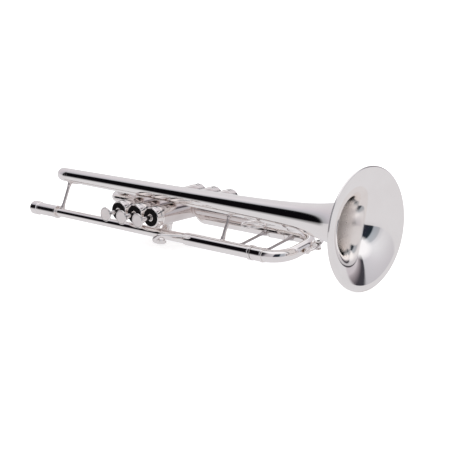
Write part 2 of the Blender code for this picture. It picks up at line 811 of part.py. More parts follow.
def make_finger_ring():
    """Ring for the left hand's third finger, standing on the third slide's upper leg."""
    ring_r, wire_r = 11.8, 1.7
    leg_top = THIRD_LEGS[0] - CROOK_R - GAP
    centre = Vector((THIRD_SLEEVE_X + 1.0 + ring_r, leg_top - wire_r - ring_r, THIRD_Z))
    profile_steps = 8
    profile = []
    for i in range(profile_steps):
        angle = -2 * math.pi * i / profile_steps + math.pi / 2
        profile.append((wire_r * math.sin(angle), ring_r + wire_r * math.cos(angle)))
    turned("finger_ring", profile, "silver_plate", centre, (0, 0, 1), 20)


def make_stop_rod():
    """Stop rod of the third slide, with its cross bar, and the guide it runs in."""
    middle_y = (THIRD_LEGS[0] + THIRD_LEGS[1]) / 2
    guide_x, bar_x = 108.0, 129.0
    nut_x = guide_x - 3.2 - THIRD_THROW - 3.0
    length = bar_x - nut_x
    profile = [
        (length, 0),
        (length, 1.3),
        (3.0, 1.3),
        (3.0, 3.0),
        (0, 3.0),
        (0, 0),
    ]
    stop = turned("third_stop_rod", profile, "silver_plate", (nut_x, middle_y, THIRD_Z), (1, 0, 0), 10)
    half_span = (THIRD_LEGS[1] - THIRD_LEGS[0]) / 2
    half = half_span - CROOK_R - GAP
    bar = [(2 * half, 0), (2 * half, 1.6), (0, 1.6), (0, 0)]
    bar_start = (bar_x, middle_y - half, THIRD_Z)
    cross_bar = turned("stop_cross_bar", bar, "silver_plate", bar_start, (0, 1, 0), 10)
    join(stop, cross_bar)
    half = half_span - LEG_SLEEVE_R - GAP
    block = [(2 * half, 0), (2 * half, 3.2), (0, 3.2), (0, 0)]
    block_start = (guide_x, middle_y - half, THIRD_Z)
    guide = turned("stop_rod_guide", block, "silver_plate", block_start, (0, 1, 0), 12)
    hole_start = (guide_x - 5, middle_y, THIRD_Z)
    hole_end = (guide_x + 5, middle_y, THIRD_Z)
    rod_cutter = cylinder_cutter("stop_guide_cutter", 1.3 + GAP, hole_start, hole_end, 12)
    cut(guide, rod_cutter)


# --- water key ----------------------------------------------------------------------------------
def bow_point(degrees, radius, aside=0.0):
    """A place round the tuning slide's lower corner: angle from +X, distance from its centre."""
    across = slide_direction()
    width = math.hypot(LOWER_Y - LEAD_Y, LOWER_Z - LEAD_Z)
    centre = Vector((SLIDE_X - SLIDE_CORNER_R, LEAD_Y, LEAD_Z)) + across * (width - SLIDE_CORNER_R)
    angle = math.radians(degrees)
    outward = Vector((math.cos(angle), 0, 0)) + across * math.sin(angle)
    return centre + outward * radius + Vector((1, 0, 0)).cross(across) * aside


def key_pin(name, kind, degrees, radius, near, far, pin_r, steps=10):
    """A round solid across the bow's plane, from one side distance to the other."""
    start = bow_point(degrees, radius, near)
    end = bow_point(degrees, radius, far)
    length = (end - start).length
    profile = [(length, 0), (length, pin_r), (0, pin_r), (0, 0)]
    return turned(name, profile, kind, start, end - start, steps)


def key_disc(name, kind, degrees, inner, outer, disc_r, steps=12):
    """A round solid that faces the bow, between two distances from the corner's centre."""
    start = bow_point(degrees, inner)
    end = bow_point(degrees, outer)
    length = (end - start).length
    profile = [(length, 0), (length, disc_r), (0, disc_r), (0, 0)]
    return turned(name, profile, kind, start, end - start, steps)


def make_water_key():
    """Spring-loaded key over the drain hole at the tuning slide's lower corner."""
    surface = SLIDE_CORNER_R + SLIDE_BOW_R
    nipple_top = surface + 1.8
    cork_top = nipple_top + 0.1 + 2.0
    bow_cutter = add_cutter("bow_cutter", curve_to_mesh("bow_cutter", bow_core()))
    nipple = key_disc("water_key_nipple", "silver_plate", KEY_CORK_ANGLE, surface - 2, nipple_top, 2.6)
    cut(nipple, bow_cutter)
    key_disc("water_key_cork", "cork", KEY_CORK_ANGLE, nipple_top + 0.1, cork_top, 2.9)
    arm = [
        bow_point(KEY_CORK_ANGLE, cork_top + 1.6),
        bow_point(0, KEY_PIVOT_R + 0.6),
        bow_point(KEY_PIVOT_ANGLE, KEY_PIVOT_R),
        bow_point(36, KEY_PIVOT_R + 1.4),
        bow_point(50, KEY_PIVOT_R + 2.0),
    ]
    lever = rod("water_key_lever", arm, [1.3, 1.3, 1.3, 1.6, 2.6], "silver_plate", sides_level=2)
    cup = key_disc("water_key_cup", "silver_plate", KEY_CORK_ANGLE, cork_top + 0.1, cork_top + 1.5, 3.4)
    barrel = key_pin("water_key_barrel", "silver_plate", KEY_PIVOT_ANGLE, KEY_PIVOT_R, -3.2, 3.2, 1.9)
    join(lever, cup, barrel)
    cut(lever, cylinder_cutter(
        "water_key_bore", 0.7 + GAP,
        bow_point(KEY_PIVOT_ANGLE, KEY_PIVOT_R, -6), bow_point(KEY_PIVOT_ANGLE, KEY_PIVOT_R, 6), 10))
    make_key_saddle(bow_cutter)
    key_pin("water_key_screw", "spring_steel", KEY_PIVOT_ANGLE, KEY_PIVOT_R, -5.6, 5.6, 0.7)
    make_key_spring()


def bow_core():
    """The solid core of the bow's corner, a little larger than the tube."""
    points = [bow_point(degrees, SLIDE_CORNER_R) for degrees in range(0, 91, 15)]
    across = slide_direction()
    points.insert(0, points[0] - across * 12)
    curve = swept_curve("bow_core", points, [SLIDE_BOW_R + GAP] * len(points), 4)
    curve.use_fill_caps = True
    return curve


def make_key_saddle(bow_cutter):
    """Two ears on one foot that carry the key's hinge screw."""
    ear_in, ear_out = 3.6, 4.8
    foot = key_disc("water_key_saddle", "silver_plate", KEY_PIVOT_ANGLE, SLIDE_CORNER_R + 3.0,
                    SLIDE_CORNER_R + SLIDE_BOW_R + 1.2, ear_out + 0.4)
    ears = []
    for side, near, far in (("left", -ear_out, -ear_in), ("right", ear_in, ear_out)):
        ears.append(key_pin(
            "key_ear_" + side, "silver_plate", KEY_PIVOT_ANGLE, KEY_PIVOT_R - 1.2, near, far, 3.4, 12))
    join(foot, *ears)
    screw_hole = cylinder_cutter(
        "key_screw_cutter", 1.0,
        bow_point(KEY_PIVOT_ANGLE, KEY_PIVOT_R, -8), bow_point(KEY_PIVOT_ANGLE, KEY_PIVOT_R, 8), 10)
    cut(foot, bow_cutter, screw_hole)


def make_key_spring():
    """Small coil spring beside the lever, round its barrel."""
    turns, per_turn = 2, 8
    coil_r, wire_r = 2.55, 0.3
    centre = bow_point(KEY_PIVOT_ANGLE, KEY_PIVOT_R)
    outward = (bow_point(KEY_PIVOT_ANGLE, KEY_PIVOT_R + 1) - centre).normalized()
    aside = (bow_point(KEY_PIVOT_ANGLE, KEY_PIVOT_R, 1) - centre).normalized()
    along = outward.cross(aside)
    points = []
    for i in range(turns * per_turn + 1):
        angle = 2 * math.pi * i / per_turn
        spread = 1.75 + 1.0 * i / (turns * per_turn)
        turned_out = outward * math.cos(angle) + along * math.sin(angle)
        points.append(centre + aside * spread + turned_out * coil_r)
    rod("water_key_spring", points, wire_r, "spring_steel", sides_level=0)


PORTS = {
    1: [(y, (-1, 0, 0)) for y in FIRST_LEGS],
    2: [(y, (0, 0, -1)) for y in SECOND_LEGS],
    3: [(y, (1, 0, 0)) for y in THIRD_LEGS] + [(LOWER_Y, ELBOW_LEAN)],
}
KNUCKLE_Y = {1: 30.0, 2: 34.0}

clear_scene()
PARTS = new_collection("trumpet")
CUTTERS = new_collection("cutters")
FRAME = bpy.data.objects.new("trumpet_frame", None)
PARTS.objects.link(FRAME)
FRAME.location = Vector(FRAME_ORIGIN) * MM
CASING_CUTTERS = {
    number: cylinder_cutter(
        "casing_cutter_%d" % number, CASING_R + GAP, (x, CASING_TOP, 0), (x, CASING_BOTTOM, 0), 24)
    for number, x in VALVES.items()
}

make_bell()
make_bell_bow()
make_receiver()
make_leadpipe()
make_upper_sleeve()
make_lower_sleeve()
make_main_slide()
for valve in VALVES:
    make_casing(valve)
    make_top_cap(valve)
    make_top_felt(valve)
    make_bottom_cap(valve)
    make_piston(valve)
    make_stem(valve)
    make_button(valve)
    make_valve_spring(valve)
make_knuckle(1)
make_knuckle(2)
make_first_slide()
make_second_slide()
make_third_slide()
make_braces()
make_finger_hook()
make_pull_knob()
make_thumb_saddle()
make_finger_ring()
make_stop_rod()
make_water_key()
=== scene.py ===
"""The trumpet's looks: its visible pieces, their materials, the floor, the light and the camera.

Lengths are in millimetres and positions are counted from the point where the second valve's axis
crosses the valves' middle plane, as in the CAD: X runs to the bell, -Y to the finger buttons, Z up.
"""

import math

import bmesh
import bpy
from mathutils import Matrix, Vector


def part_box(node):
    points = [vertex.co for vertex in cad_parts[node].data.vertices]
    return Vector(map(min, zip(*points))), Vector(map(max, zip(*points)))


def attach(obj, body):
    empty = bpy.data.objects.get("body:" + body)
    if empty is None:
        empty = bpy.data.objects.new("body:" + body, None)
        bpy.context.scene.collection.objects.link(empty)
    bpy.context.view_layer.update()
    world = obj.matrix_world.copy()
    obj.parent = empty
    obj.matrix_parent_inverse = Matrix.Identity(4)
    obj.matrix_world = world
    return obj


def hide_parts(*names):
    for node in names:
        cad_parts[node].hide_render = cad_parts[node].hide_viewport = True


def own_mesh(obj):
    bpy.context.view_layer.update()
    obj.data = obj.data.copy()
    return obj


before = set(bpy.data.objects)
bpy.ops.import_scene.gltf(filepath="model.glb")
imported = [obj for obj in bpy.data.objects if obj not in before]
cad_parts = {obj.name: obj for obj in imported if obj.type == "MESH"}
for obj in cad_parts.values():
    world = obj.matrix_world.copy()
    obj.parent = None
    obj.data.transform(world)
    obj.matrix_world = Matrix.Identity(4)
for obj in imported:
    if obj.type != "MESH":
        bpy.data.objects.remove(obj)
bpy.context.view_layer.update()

MM = 0.001
GAP = 0.3

# --- driving dimensions: the CAD's own, and a few that only the looks need ---
VALVE_PITCH = 25.0
VALVES = {1: -VALVE_PITCH, 2: 0.0, 3: VALVE_PITCH}

BELL_Z = 20.9
BELL_X = 289.5
RIM_R = 61.5
RIM_BEAD_R, RIM_SETBACK = 1.3, 0.6
WALL = 0.7
THROAT_R = 5.0
FLARE_LENGTH = 9.56
FLARE_POWER = 0.75
THROAT_START, THROAT_END = 268.0, 235.0
THROAT_ROUGHNESS = 0.38
BOW_X = -141.0
TAIL_Y, TAIL_Z = 54.0, 7.4
TAIL_R = 6.2
TAIL_END_X, TAIL_END_Z = -29.0, 4.5

LEAD_Y, LEAD_Z = -16.0, -21.0
LEAD_REAR_R, LEAD_FRONT_R = 4.9, 5.6
RECEIVER_X, RECEIVER_FRONT_X = -189.8, -146.5
RECEIVER_R, RECEIVER_RING_R = 7.1, 8.1

LOWER_Y, LOWER_Z = 41.9, -12.1
SLEEVE_R = 6.8
SLEEVE_REAR_X = 60.0
UPPER_SLEEVE_X, LOWER_SLEEVE_X = 157.0, 134.0
ELBOW_LEAN = (0.48, 0.0, -0.88)
SLIDE_X = 195.0
UPPER_FERRULE_LENGTH, LOWER_FERRULE_LENGTH = 15.3, 20.8
SLIDE_CORNER_R = 22.0
SLIDE_BOW_R = 6.5
FERRULE_R = 7.3

CASING_R, CASING_BORE = 10.8, 8.7
CASING_TOP, CASING_BOTTOM = -30.0, 94.5
TOP_CAP_FACE, TOP_CAP_R = -33.0, 11.6
BOTTOM_CAP_FACE, BOTTOM_CAP_R = 98.7, 11.2
PISTON_BOTTOM, PISTON_CUP = 61.5, 8.0
STEM_R = 2.4
FELT_R = 9.6
BUTTON_FACE, BUTTON_R, BUTTON_THICKNESS = -53.3, 7.9, 3.5

LEG_R, CROOK_R, LEG_SLEEVE_R = 5.1, 5.7, 6.25
FIRST_LEGS = (17.5, 40.5)
FIRST_SLEEVE_X, FIRST_BEND_X = -62.0, -77.0
SECOND_LEGS = (-2.0, 18.0)
SECOND_SLEEVE_Z, SECOND_BEND_Z = -18.4, -19.3
THIRD_LEGS = (27.0, 48.0)
THIRD_Z = 1.7
THIRD_SLEEVE_X, THIRD_BEND_X = 124.0, 166.0
FIRST_TIE_X, THIRD_TIE_X = -47.0, 69.0

REAR_BRACE_X, FRONT_BRACE_X = -140.0, 113.0
SLEEVE_BRACE_X, SLIDE_BRACE_X = 128.8, 164.6
ROD_R, BELL_ROD_R = 1.5, 1.9
BRACE_LEAN, BRACE_RUN = 1.5, 22.0
HOOK_WIRE_R, HOOK_TIP_R = 1.3, 3.8
THIRD_THROW = 30.0
KEY_CORK_ANGLE, KEY_PIVOT_ANGLE = -14.0, 18.0
KEY_PIVOT_R = 34.0

X, Y, Z = Vector((1, 0, 0)), Vector((0, 1, 0)), Vector((0, 0, 1))

# --- the studio that polished parts mirror ---
# Azimuths are in degrees from +X towards +Y, heights are sines of the elevation.
WALLS = [
    (-180, (0.66, 0.62, 0.65)), (-165, (0.58, 0.56, 0.60)), (-156, (0.45, 0.45, 0.47)),
    (-151.5, (0.003, 0.003, 0.004)), (-130, (0.004, 0.003, 0.004)), (-122, (0.09, 0.08, 0.09)),
    (-112, (0.50, 0.47, 0.49)), (-80, (0.60, 0.58, 0.60)), (-76, (0.025, 0.025, 0.040)),
    (-53, (0.015, 0.025, 0.033)), (-49, (0.42, 0.45, 0.49)), (-31, (0.47, 0.48, 0.51)),
    (-29, (0.66, 0.66, 0.69)), (-15, (0.80, 0.79, 0.81)), (0, (0.78, 0.77, 0.79)),
    (30, (0.66, 0.64, 0.67)), (52, (0.61, 0.60, 0.63)), (54.5, (0.05, 0.05, 0.06)),
    (61, (0.06, 0.055, 0.065)), (66, (0.25, 0.22, 0.24)), (71, (0.42, 0.38, 0.40)),
    (75, (0.64, 0.59, 0.62)), (122, (0.70, 0.68, 0.70)), (124, (1.0, 1.0, 1.0)),
    (131, (1.0, 1.0, 1.0)), (134, (0.76, 0.74, 0.75)), (180, (0.66, 0.62, 0.65)),
]
WALL_FOOT_TONE = (0.86, 0.85, 0.85)
WALL_TOP, CEILING_START = 0.68, 0.86
CEILING = (0.98, 0.96, 0.97)
TABLE = (0.71, 0.69, 0.70)
TABLE_GLOSS = [(-180, 0.1), (-156, 0.2), (-150, 0.9), (-125, 0.9), (-118, 0.1), (180, 0.1)]
TABLE_SHEEN, HORIZON_BLUR = 0.24, 0.02
WHITE = (1.0, 1.0, 1.0)
SILVER_BALANCE = (0.995, 1.017, 1.043)

# The camera looks back along this azimuth and elevation, in degrees, with a slight roll.
LENS = 104.72
CAMERA_PLACE = (1009.8, -995.2, 312.2)
CAMERA_AZIMUTH, CAMERA_ELEVATION, CAMERA_ROLL = -47.672, 13.156, -0.648


def frame_origin():
    """Where the local origin lies in the row frame, in metres, from the second valve's casing."""
    low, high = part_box("valve_casing_2")
    middle = (low + high) / 2
    return Vector((middle.x, low.y - CASING_TOP * MM, middle.z))


ORIGIN = frame_origin()


# --- materials ---
def fill(node, values):
    """Puts plain values into a node's inputs, by name."""
    for name, value in values.items():
        node.inputs[name].default_value = value


class Nodes:
    """The nodes of a material or a world: adds them and links them by socket name."""

    def __init__(self, owner, coordinates="Object"):
        owner.use_nodes = True
        self.tree = owner.node_tree
        self.place = self.add("ShaderNodeTexCoord").outputs[coordinates]

    def add(self, kind, **settings):
        node = self.tree.nodes.new(kind)
        for key, value in settings.items():
            setattr(node, key, value)
        return node

    def link(self, source, target):
        self.tree.links.new(source, target)

    def noise(self, scale, detail=3.0, distortion=0.0, stretch=None):
        node = self.add("ShaderNodeTexNoise")
        fill(node, {"Scale": scale, "Detail": detail, "Distortion": distortion})
        if stretch:
            mapping = self.add("ShaderNodeMapping")
            fill(mapping, {"Scale": stretch})
            self.link(self.place, mapping.inputs["Vector"])
            self.link(mapping.outputs["Vector"], node.inputs["Vector"])
        else:
            self.link(self.place, node.inputs["Vector"])
        return node.outputs["Fac"]

    def ramp(self, source, stops):
        node = self.add("ShaderNodeValToRGB")
        while len(node.color_ramp.elements) < len(stops):
            node.color_ramp.elements.new(0.5)
        for element, (position, colour) in zip(node.color_ramp.elements, stops):
            element.position = position
            element.color = (*colour, 1.0)
        self.link(source, node.inputs["Fac"])
        return node.outputs["Color"]

    def spread(self, source, low, high, start=0.0, end=1.0):
        """A number from low to high as source goes from start to end."""
        node = self.add("ShaderNodeMapRange")
        fill(node, {"From Min": start, "From Max": end, "To Min": low, "To Max": high})
        self.link(source, node.inputs["Value"])
        return node.outputs["Result"]

    def mixed(self, first, second, factor, kind="MIX"):
        """Two colours mixed; each of the three may be a socket or a plain value."""
        node = self.add("ShaderNodeMix", data_type="RGBA", blend_type=kind)
        for name, source in (("Factor", factor), ("A", first), ("B", second)):
            socket = [s for s in node.inputs if s.name == name and s.enabled][0]
            if isinstance(source, bpy.types.NodeSocket):
                self.link(source, socket)
            else:
                socket.default_value = source if name == "Factor" else (*source, 1.0)
        return [s for s in node.outputs if s.enabled][0]


class Surface(Nodes):
    """A material of one Principled shader under construction."""

    def __init__(self, name, **values):
        self.material = bpy.data.materials.new(name)
        super().__init__(self.material)
        self.shader = self.tree.nodes["Principled BSDF"]
        fill(self.shader, {key.replace("_", " "): value for key, value in values.items()})

    def colour(self, source):
        self.link(source, self.shader.inputs["Base Color"])

    def bump(self, height, strength, distance):
        node = self.add("ShaderNodeBump")
        fill(node, {"Strength": strength, "Distance": distance})
        self.link(height, node.inputs["Height"])
        self.link(node.outputs["Normal"], self.shader.inputs["Normal"])


def plated(name, light, dark, rough_low, rough_high, scratches=0.05, tarnish_and_shade=0.25, dulled_by=None):
    """Polished plating: cloudy tone, smudges in the gloss, hairline scratches, and tarnish with
    painted shade that darkens and browns the colour in recesses and between parts.

    A point attribute named by dulled_by, from 0 to 1, adds THROAT_ROUGHNESS where it is 1.
    """
    made = Surface(name, Metallic=1.0)
    tone = made.ramp(made.noise(38, 4, 0.6), [(0.35, dark), (0.65, light)])
    # Painted shade with tarnish: ambient occlusion within 4 mm darkens and browns the colour in
    # recesses and between parts.
    tarnish_and_shade_mask = made.add("ShaderNodeAmbientOcclusion", samples=6)
    fill(tarnish_and_shade_mask, {"Distance": 0.004})
    tarnish_and_shade_tone = (1 - tarnish_and_shade, 1 - 1.12 * tarnish_and_shade, 1 - 1.2 * tarnish_and_shade)
    tarnish_and_painted_shade = made.ramp(tarnish_and_shade_mask.outputs["AO"], [(0.25, tarnish_and_shade_tone), (0.8, WHITE)])
    made.colour(made.mixed(tone, tarnish_and_painted_shade, 1.0, "MULTIPLY"))
    gloss = made.spread(made.noise(120, 5, 1.2), rough_low, rough_high, 0.3, 0.75)
    if dulled_by:
        where = made.add("ShaderNodeAttribute", attribute_name=dulled_by)
        rougher = made.add("ShaderNodeMath", operation="MULTIPLY_ADD")
        made.link(where.outputs["Fac"], rougher.inputs[0])
        rougher.inputs[1].default_value = THROAT_ROUGHNESS
        made.link(gloss, rougher.inputs[2])
        gloss = rougher.outputs["Value"]
    made.link(gloss, made.shader.inputs["Roughness"])
    made.bump(made.noise(900, 2, 0.0, (1.0, 6.0, 6.0)), scratches, 0.00001)
    return made.material


def pearl():
    """Mother of pearl: drifting bands of pink, green and grey under a clear polish."""
    made = Surface("pearl", Roughness=0.22, Coat_Weight=0.6, Coat_Roughness=0.05)
    bands = made.noise(210, 3, 2.5, (1.0, 1.0, 2.2))
    colour = made.ramp(bands, [
        (0.30, (0.44, 0.39, 0.40)), (0.45, (0.49, 0.44, 0.44)),
        (0.55, (0.43, 0.42, 0.42)), (0.70, (0.49, 0.43, 0.45)),
    ])
    made.colour(colour)
    made.bump(made.noise(400, 2, 1.0), 0.03, 0.00005)
    return made.material


def felt():
    """Black felt, matted and a little dusty."""
    made = Surface("black_felt", Roughness=1.0, Specular_IOR_Level=0.05)
    fibres = made.noise(2600, 6, 1.5)
    colour = made.ramp(fibres, [(0.3, (0.002, 0.002, 0.002)), (0.75, (0.013, 0.011, 0.012))])
    made.colour(colour)
    made.bump(fibres, 0.8, 0.00025)
    return made.material


def cork():
    """Pressed cork: warm grains with dark pores between them."""
    made = Surface("cork", Roughness=0.85)
    grains = made.add("ShaderNodeTexVoronoi", feature="F1")
    fill(grains, {"Scale": 1400})
    made.link(made.place, grains.inputs["Vector"])
    colour = made.ramp(grains.outputs["Distance"], [
        (0.1, (0.34, 0.25, 0.18)), (0.5, (0.25, 0.17, 0.12)), (0.85, (0.07, 0.045, 0.03))])
    made.colour(colour)
    made.bump(grains.outputs["Distance"], 0.5, 0.0001)
    return made.material


SILVER = plated("silver_plate", (0.96, 0.925, 0.90), (0.93, 0.885, 0.865), 0.03, 0.09)
BELL_SILVER = plated(
    "bell_silver", (0.975, 0.945, 0.92), (0.955, 0.92, 0.895), 0.03, 0.08, dulled_by="throat")
# Silver plate painted darker as painted shade, for the parts deep among the tubes: casings,
# knuckles, slide sleeves and the bell braces. SHADED_SILVER is the same plate with deeper painted
# shade.
DARK_PAINTED_SHADE_SILVER = plated("silver_with_painted_shade", (0.81, 0.75, 0.73), (0.74, 0.68, 0.66), 0.05, 0.12)
SHADED_SILVER = plated("shaded_silver", (0.50, 0.46, 0.46), (0.42, 0.39, 0.39), 0.08, 0.16)
WORN_SILVER = plated("handled_silver", (0.95, 0.91, 0.89), (0.88, 0.84, 0.82), 0.06, 0.20, 0.10)
PEARL = pearl()
FELT = felt()
CORK = cork()
STEEL = plated("spring_steel", (0.50, 0.49, 0.48), (0.36, 0.35, 0.34), 0.20, 0.38, 0.3)
NICKEL = plated("lapped_nickel", (0.72, 0.70, 0.66), (0.66, 0.64, 0.60), 0.12, 0.24, 0.3)


# --- shapes: each is a pair of vertices, in millimetres, and faces ---
def placed(shape, place, axis=Z):
    """A shape made about its own Z axis, moved to place with that axis along axis."""
    turn = Vector(axis).to_track_quat("Z", "Y")
    vertices, faces = shape
    return [Vector(place) + turn @ Vector(v) for v in vertices], faces


def merged(*shapes):
    vertices, faces = [], []
    for more_vertices, more_faces in shapes:
        start = len(vertices)
        vertices += more_vertices
        faces += [tuple(start + i for i in face) for face in more_faces]
    return vertices, faces


def softened(profile, radius, closed, steps=4):
    """A profile whose corners are rounded to a radius, or to less where there is no room."""
    points = [Vector(p) for p in profile]
    if radius <= 0:
        return points
    count = len(points)
    result = []
    for i, corner in enumerate(points):
        if not closed and i in (0, count - 1):
            result.append(corner)
            continue
        before, after = points[i - 1] - corner, points[(i + 1) % count] - corner
        bend = math.pi - before.angle(after)
        if bend < math.radians(12):
            result.append(corner)
            continue
        reach = min(radius * math.tan(bend / 2), 0.45 * before.length, 0.45 * after.length)
        start, end = corner + before.normalized() * reach, corner + after.normalized() * reach
        for k in range(steps + 1):
            t = k / steps
            result.append(start * (1 - t) ** 2 + corner * (2 * t * (1 - t)) + end * t ** 2)
    return result


def lathed(profile, soft=0.25, sides=96):
    """A solid of revolution from (height, radius) points; it closes on itself or on its axis."""
    closed = profile[0][1] > 0.001 or profile[-1][1] > 0.001
    points = softened(profile, soft, closed)
    vertices, faces, rows = [], [], []
    for height, radius in points:
        if radius < 0.001:
            rows.append([len(vertices)] * sides)
            vertices.append(Vector((0, 0, height)))
            continue
        rows.append(list(range(len(vertices), len(vertices) + sides)))
        for k in range(sides):
            angle = 2 * math.pi * k / sides
            vertices.append(Vector((radius * math.cos(angle), radius * math.sin(angle), height)))
    for i in range(len(rows) if closed else len(rows) - 1):
        low, high = rows[i], rows[(i + 1) % len(rows)]
        for k in range(sides):
            corners = []
            for index in (low[k], low[(k + 1) % sides], high[(k + 1) % sides], high[k]):
                if index not in corners:
                    corners.append(index)
            faces.append(tuple(corners))
    return vertices, faces


def band(radius, bore, length, start=0.0):
    """The profile of a plain ring."""
    return [(start, bore), (start, radius), (start + length, radius), (start + length, bore)]


def bar(radius, length):
    """The profile of a plain round bar."""
    return [(0, 0), (0, radius), (length, radius), (length, 0)]


def knurled(radius, bore, length, start, ridges, depth):
    """A closed fluted ring, as on a cap's edge."""
    sides = ridges * 4
    rows = [
        (0.0, bore, 0), (0.0, radius - depth, 0), (0.15, radius, 1),
        (0.85, radius, 1), (1.0, radius - depth, 0), (1.0, bore, 0),
    ]
    vertices, faces = [], []
    for share, row_r, fluted in rows:
        for k in range(sides):
            angle = 2 * math.pi * k / sides
            r = row_r - fluted * depth * (0.5 - 0.5 * math.cos(angle * ridges))
            height = start + share * length
            vertices.append(Vector((r * math.cos(angle), r * math.sin(angle), height)))
    for row in range(len(rows)):
        low, high = row * sides, (row + 1) % len(rows) * sides
        for k in range(sides):
            ahead = (k + 1) % sides
            faces.append((low + k, low + ahead, high + ahead, high + k))
    return vertices, faces


def bent_path(corners, radius, steps=16):
    """Straight runs between corners, each inner corner rounded to a radius."""
    points = [Vector(corners[0])]
    for before, corner, after in zip(corners, corners[1:], corners[2:]):
        corner = Vector(corner)
        inward = (Vector(before) - corner).normalized()
        outward = (Vector(after) - corner).normalized()
        half = inward.angle(outward) / 2
        centre = corner + (inward + outward).normalized() * (radius / math.sin(half))
        start = (corner + inward * (radius / math.tan(half)) - centre).normalized()
        end = (corner + outward * (radius / math.tan(half)) - centre).normalized()
        points += [centre + start.slerp(end, i / steps) * radius for i in range(steps + 1)]
    points.append(Vector(corners[-1]))
    return points


def flowing(points, per_span=10):
    """A smooth curve through points, with the radius as a fourth number of each."""
    points = [Vector(p) for p in points]
    padded = [points[0] * 2 - points[1]] + points + [points[-1] * 2 - points[-2]]
    result = []
    for a, b, c, d in zip(padded, padded[1:], padded[2:], padded[3:]):
        for i in range(per_span):
            t = i / per_span
            result.append((b * 2 + (c - a) * t + (a * 2 - b * 5 + c * 4 - d) * t ** 2
                           + (b * 3 - a - c * 3 + d) * t ** 3) / 2)
    return result + [points[-1]]


def skinned(rows, sides):
    """The faces of a bar that is made of rows of points, closed at both ends."""
    faces = [tuple(reversed(range(sides))), tuple(range((rows - 1) * sides, rows * sides))]
    for i in range(rows - 1):
        for k in range(sides):
            a, b = i * sides + k, i * sides + (k + 1) % sides
            faces.append((a, b, b + sides, a + sides))
    return faces


def swept(points, radii, sides=40, round_ends=False):
    """A round bar along a path, closed at both ends."""
    points = [Vector(p).to_3d() for p in points]
    if not isinstance(radii, (list, tuple)):
        radii = [radii] * len(points)
    if round_ends:
        points, radii = rounded_ends(points, radii)
    count = len(points)
    tangents = []
    for i in range(count):
        ahead = points[min(i + 1, count - 1)] - points[max(i - 1, 0)]
        tangents.append(ahead.normalized())
    side = tangents[0].orthogonal().normalized()
    vertices = []
    for i, (point, tangent, radius) in enumerate(zip(points, tangents, radii)):
        if i:
            side = tangents[i - 1].rotation_difference(tangent) @ side
        other = tangent.cross(side)
        for k in range(sides):
            angle = 2 * math.pi * k / sides
            vertices.append(point + (side * math.cos(angle) + other * math.sin(angle)) * radius)
    return vertices, skinned(count, sides)


def tapered(stations, per_span=8, sides=32):
    """A smooth round bar through places that each give the radius as their fourth number."""
    path = flowing(stations, per_span)
    return swept([p[:3] for p in path], [p[3] for p in path], sides)


def rounded_ends(points, radii):
    """A path with a half ball added at each end."""
    balls = []
    for end, inner, radius in (
        (points[0], points[1], radii[0]), (points[-1], points[-2], radii[-1]),
    ):
        outward = (end - inner).normalized()
        angles = [math.radians(degrees) for degrees in (80, 55, 30)]
        balls.append([
            (end + outward * (radius * math.sin(angle)), radius * math.cos(angle))
            for angle in angles])
    path = balls[0] + list(zip(points, radii)) + balls[1][::-1]
    return [point for point, _ in path], [radius for _, radius in path]


def helix(start, axis, outward, radius, turns, rise, per_turn=24):
    """The points of a coil round an axis, which climbs by rise in its turns."""
    across = outward.cross(axis)
    points = []
    for i in range(turns * per_turn + 1):
        angle = 2 * math.pi * i / per_turn
        turned = outward * math.cos(angle) + across * math.sin(angle)
        points.append(start + axis * (rise * i / (turns * per_turn)) + turned * radius)
    return points


def collar(place, axis, radius, length, lip=0.0):
    """A ferrule round a tube: a band centred on place, with raised lips at its ends if wanted."""
    half = length / 2
    bore = radius - 1.2
    profile = band(radius, bore, length, -half)
    if lip:
        high = radius + lip
        profile = [
            (-half, bore), (-half, high), (-half + 1.1, high), (-half + 1.3, radius),
            (half - 1.3, radius), (half - 1.1, high), (half, high), (half, bore),
        ]
    return placed(lathed(profile, 0.22, 72), place, axis)


# --- pieces ---
def piece(name, body, finish, shape, node, weighted=True, sharp=50):
    """Shows a shape instead of a CAD node, with its material, riding on a body."""
    vertices, faces = shape
    mesh = bpy.data.meshes.new(name)
    mesh.from_pydata([tuple(ORIGIN + v * MM) for v in vertices], [], faces)
    solid = bmesh.new()
    solid.from_mesh(mesh)
    bmesh.ops.recalc_face_normals(solid, faces=solid.faces)
    solid.to_mesh(mesh)
    solid.free()
    mesh.shade_smooth()
    mesh.set_sharp_from_angle(angle=math.radians(sharp))
    made = bpy.data.objects.new(name, mesh)
    bpy.context.scene.collection.objects.link(made)
    mesh.materials.append(finish)
    if weighted:
        normals = made.modifiers.new("normals", "WEIGHTED_NORMAL")
        normals.keep_sharp = True
    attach(made, body)
    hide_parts(node)
    return made


def bell_radius(x):
    reach = (BELL_X + FLARE_LENGTH - x) / FLARE_LENGTH
    return THROAT_R + (RIM_R - RIM_BEAD_R - THROAT_R) * reach ** -FLARE_POWER


def bell_slope(x):
    reach = (BELL_X + FLARE_LENGTH - x) / FLARE_LENGTH
    rise = (RIM_R - RIM_BEAD_R - THROAT_R) * FLARE_POWER / FLARE_LENGTH
    return rise * reach ** (-FLARE_POWER - 1)


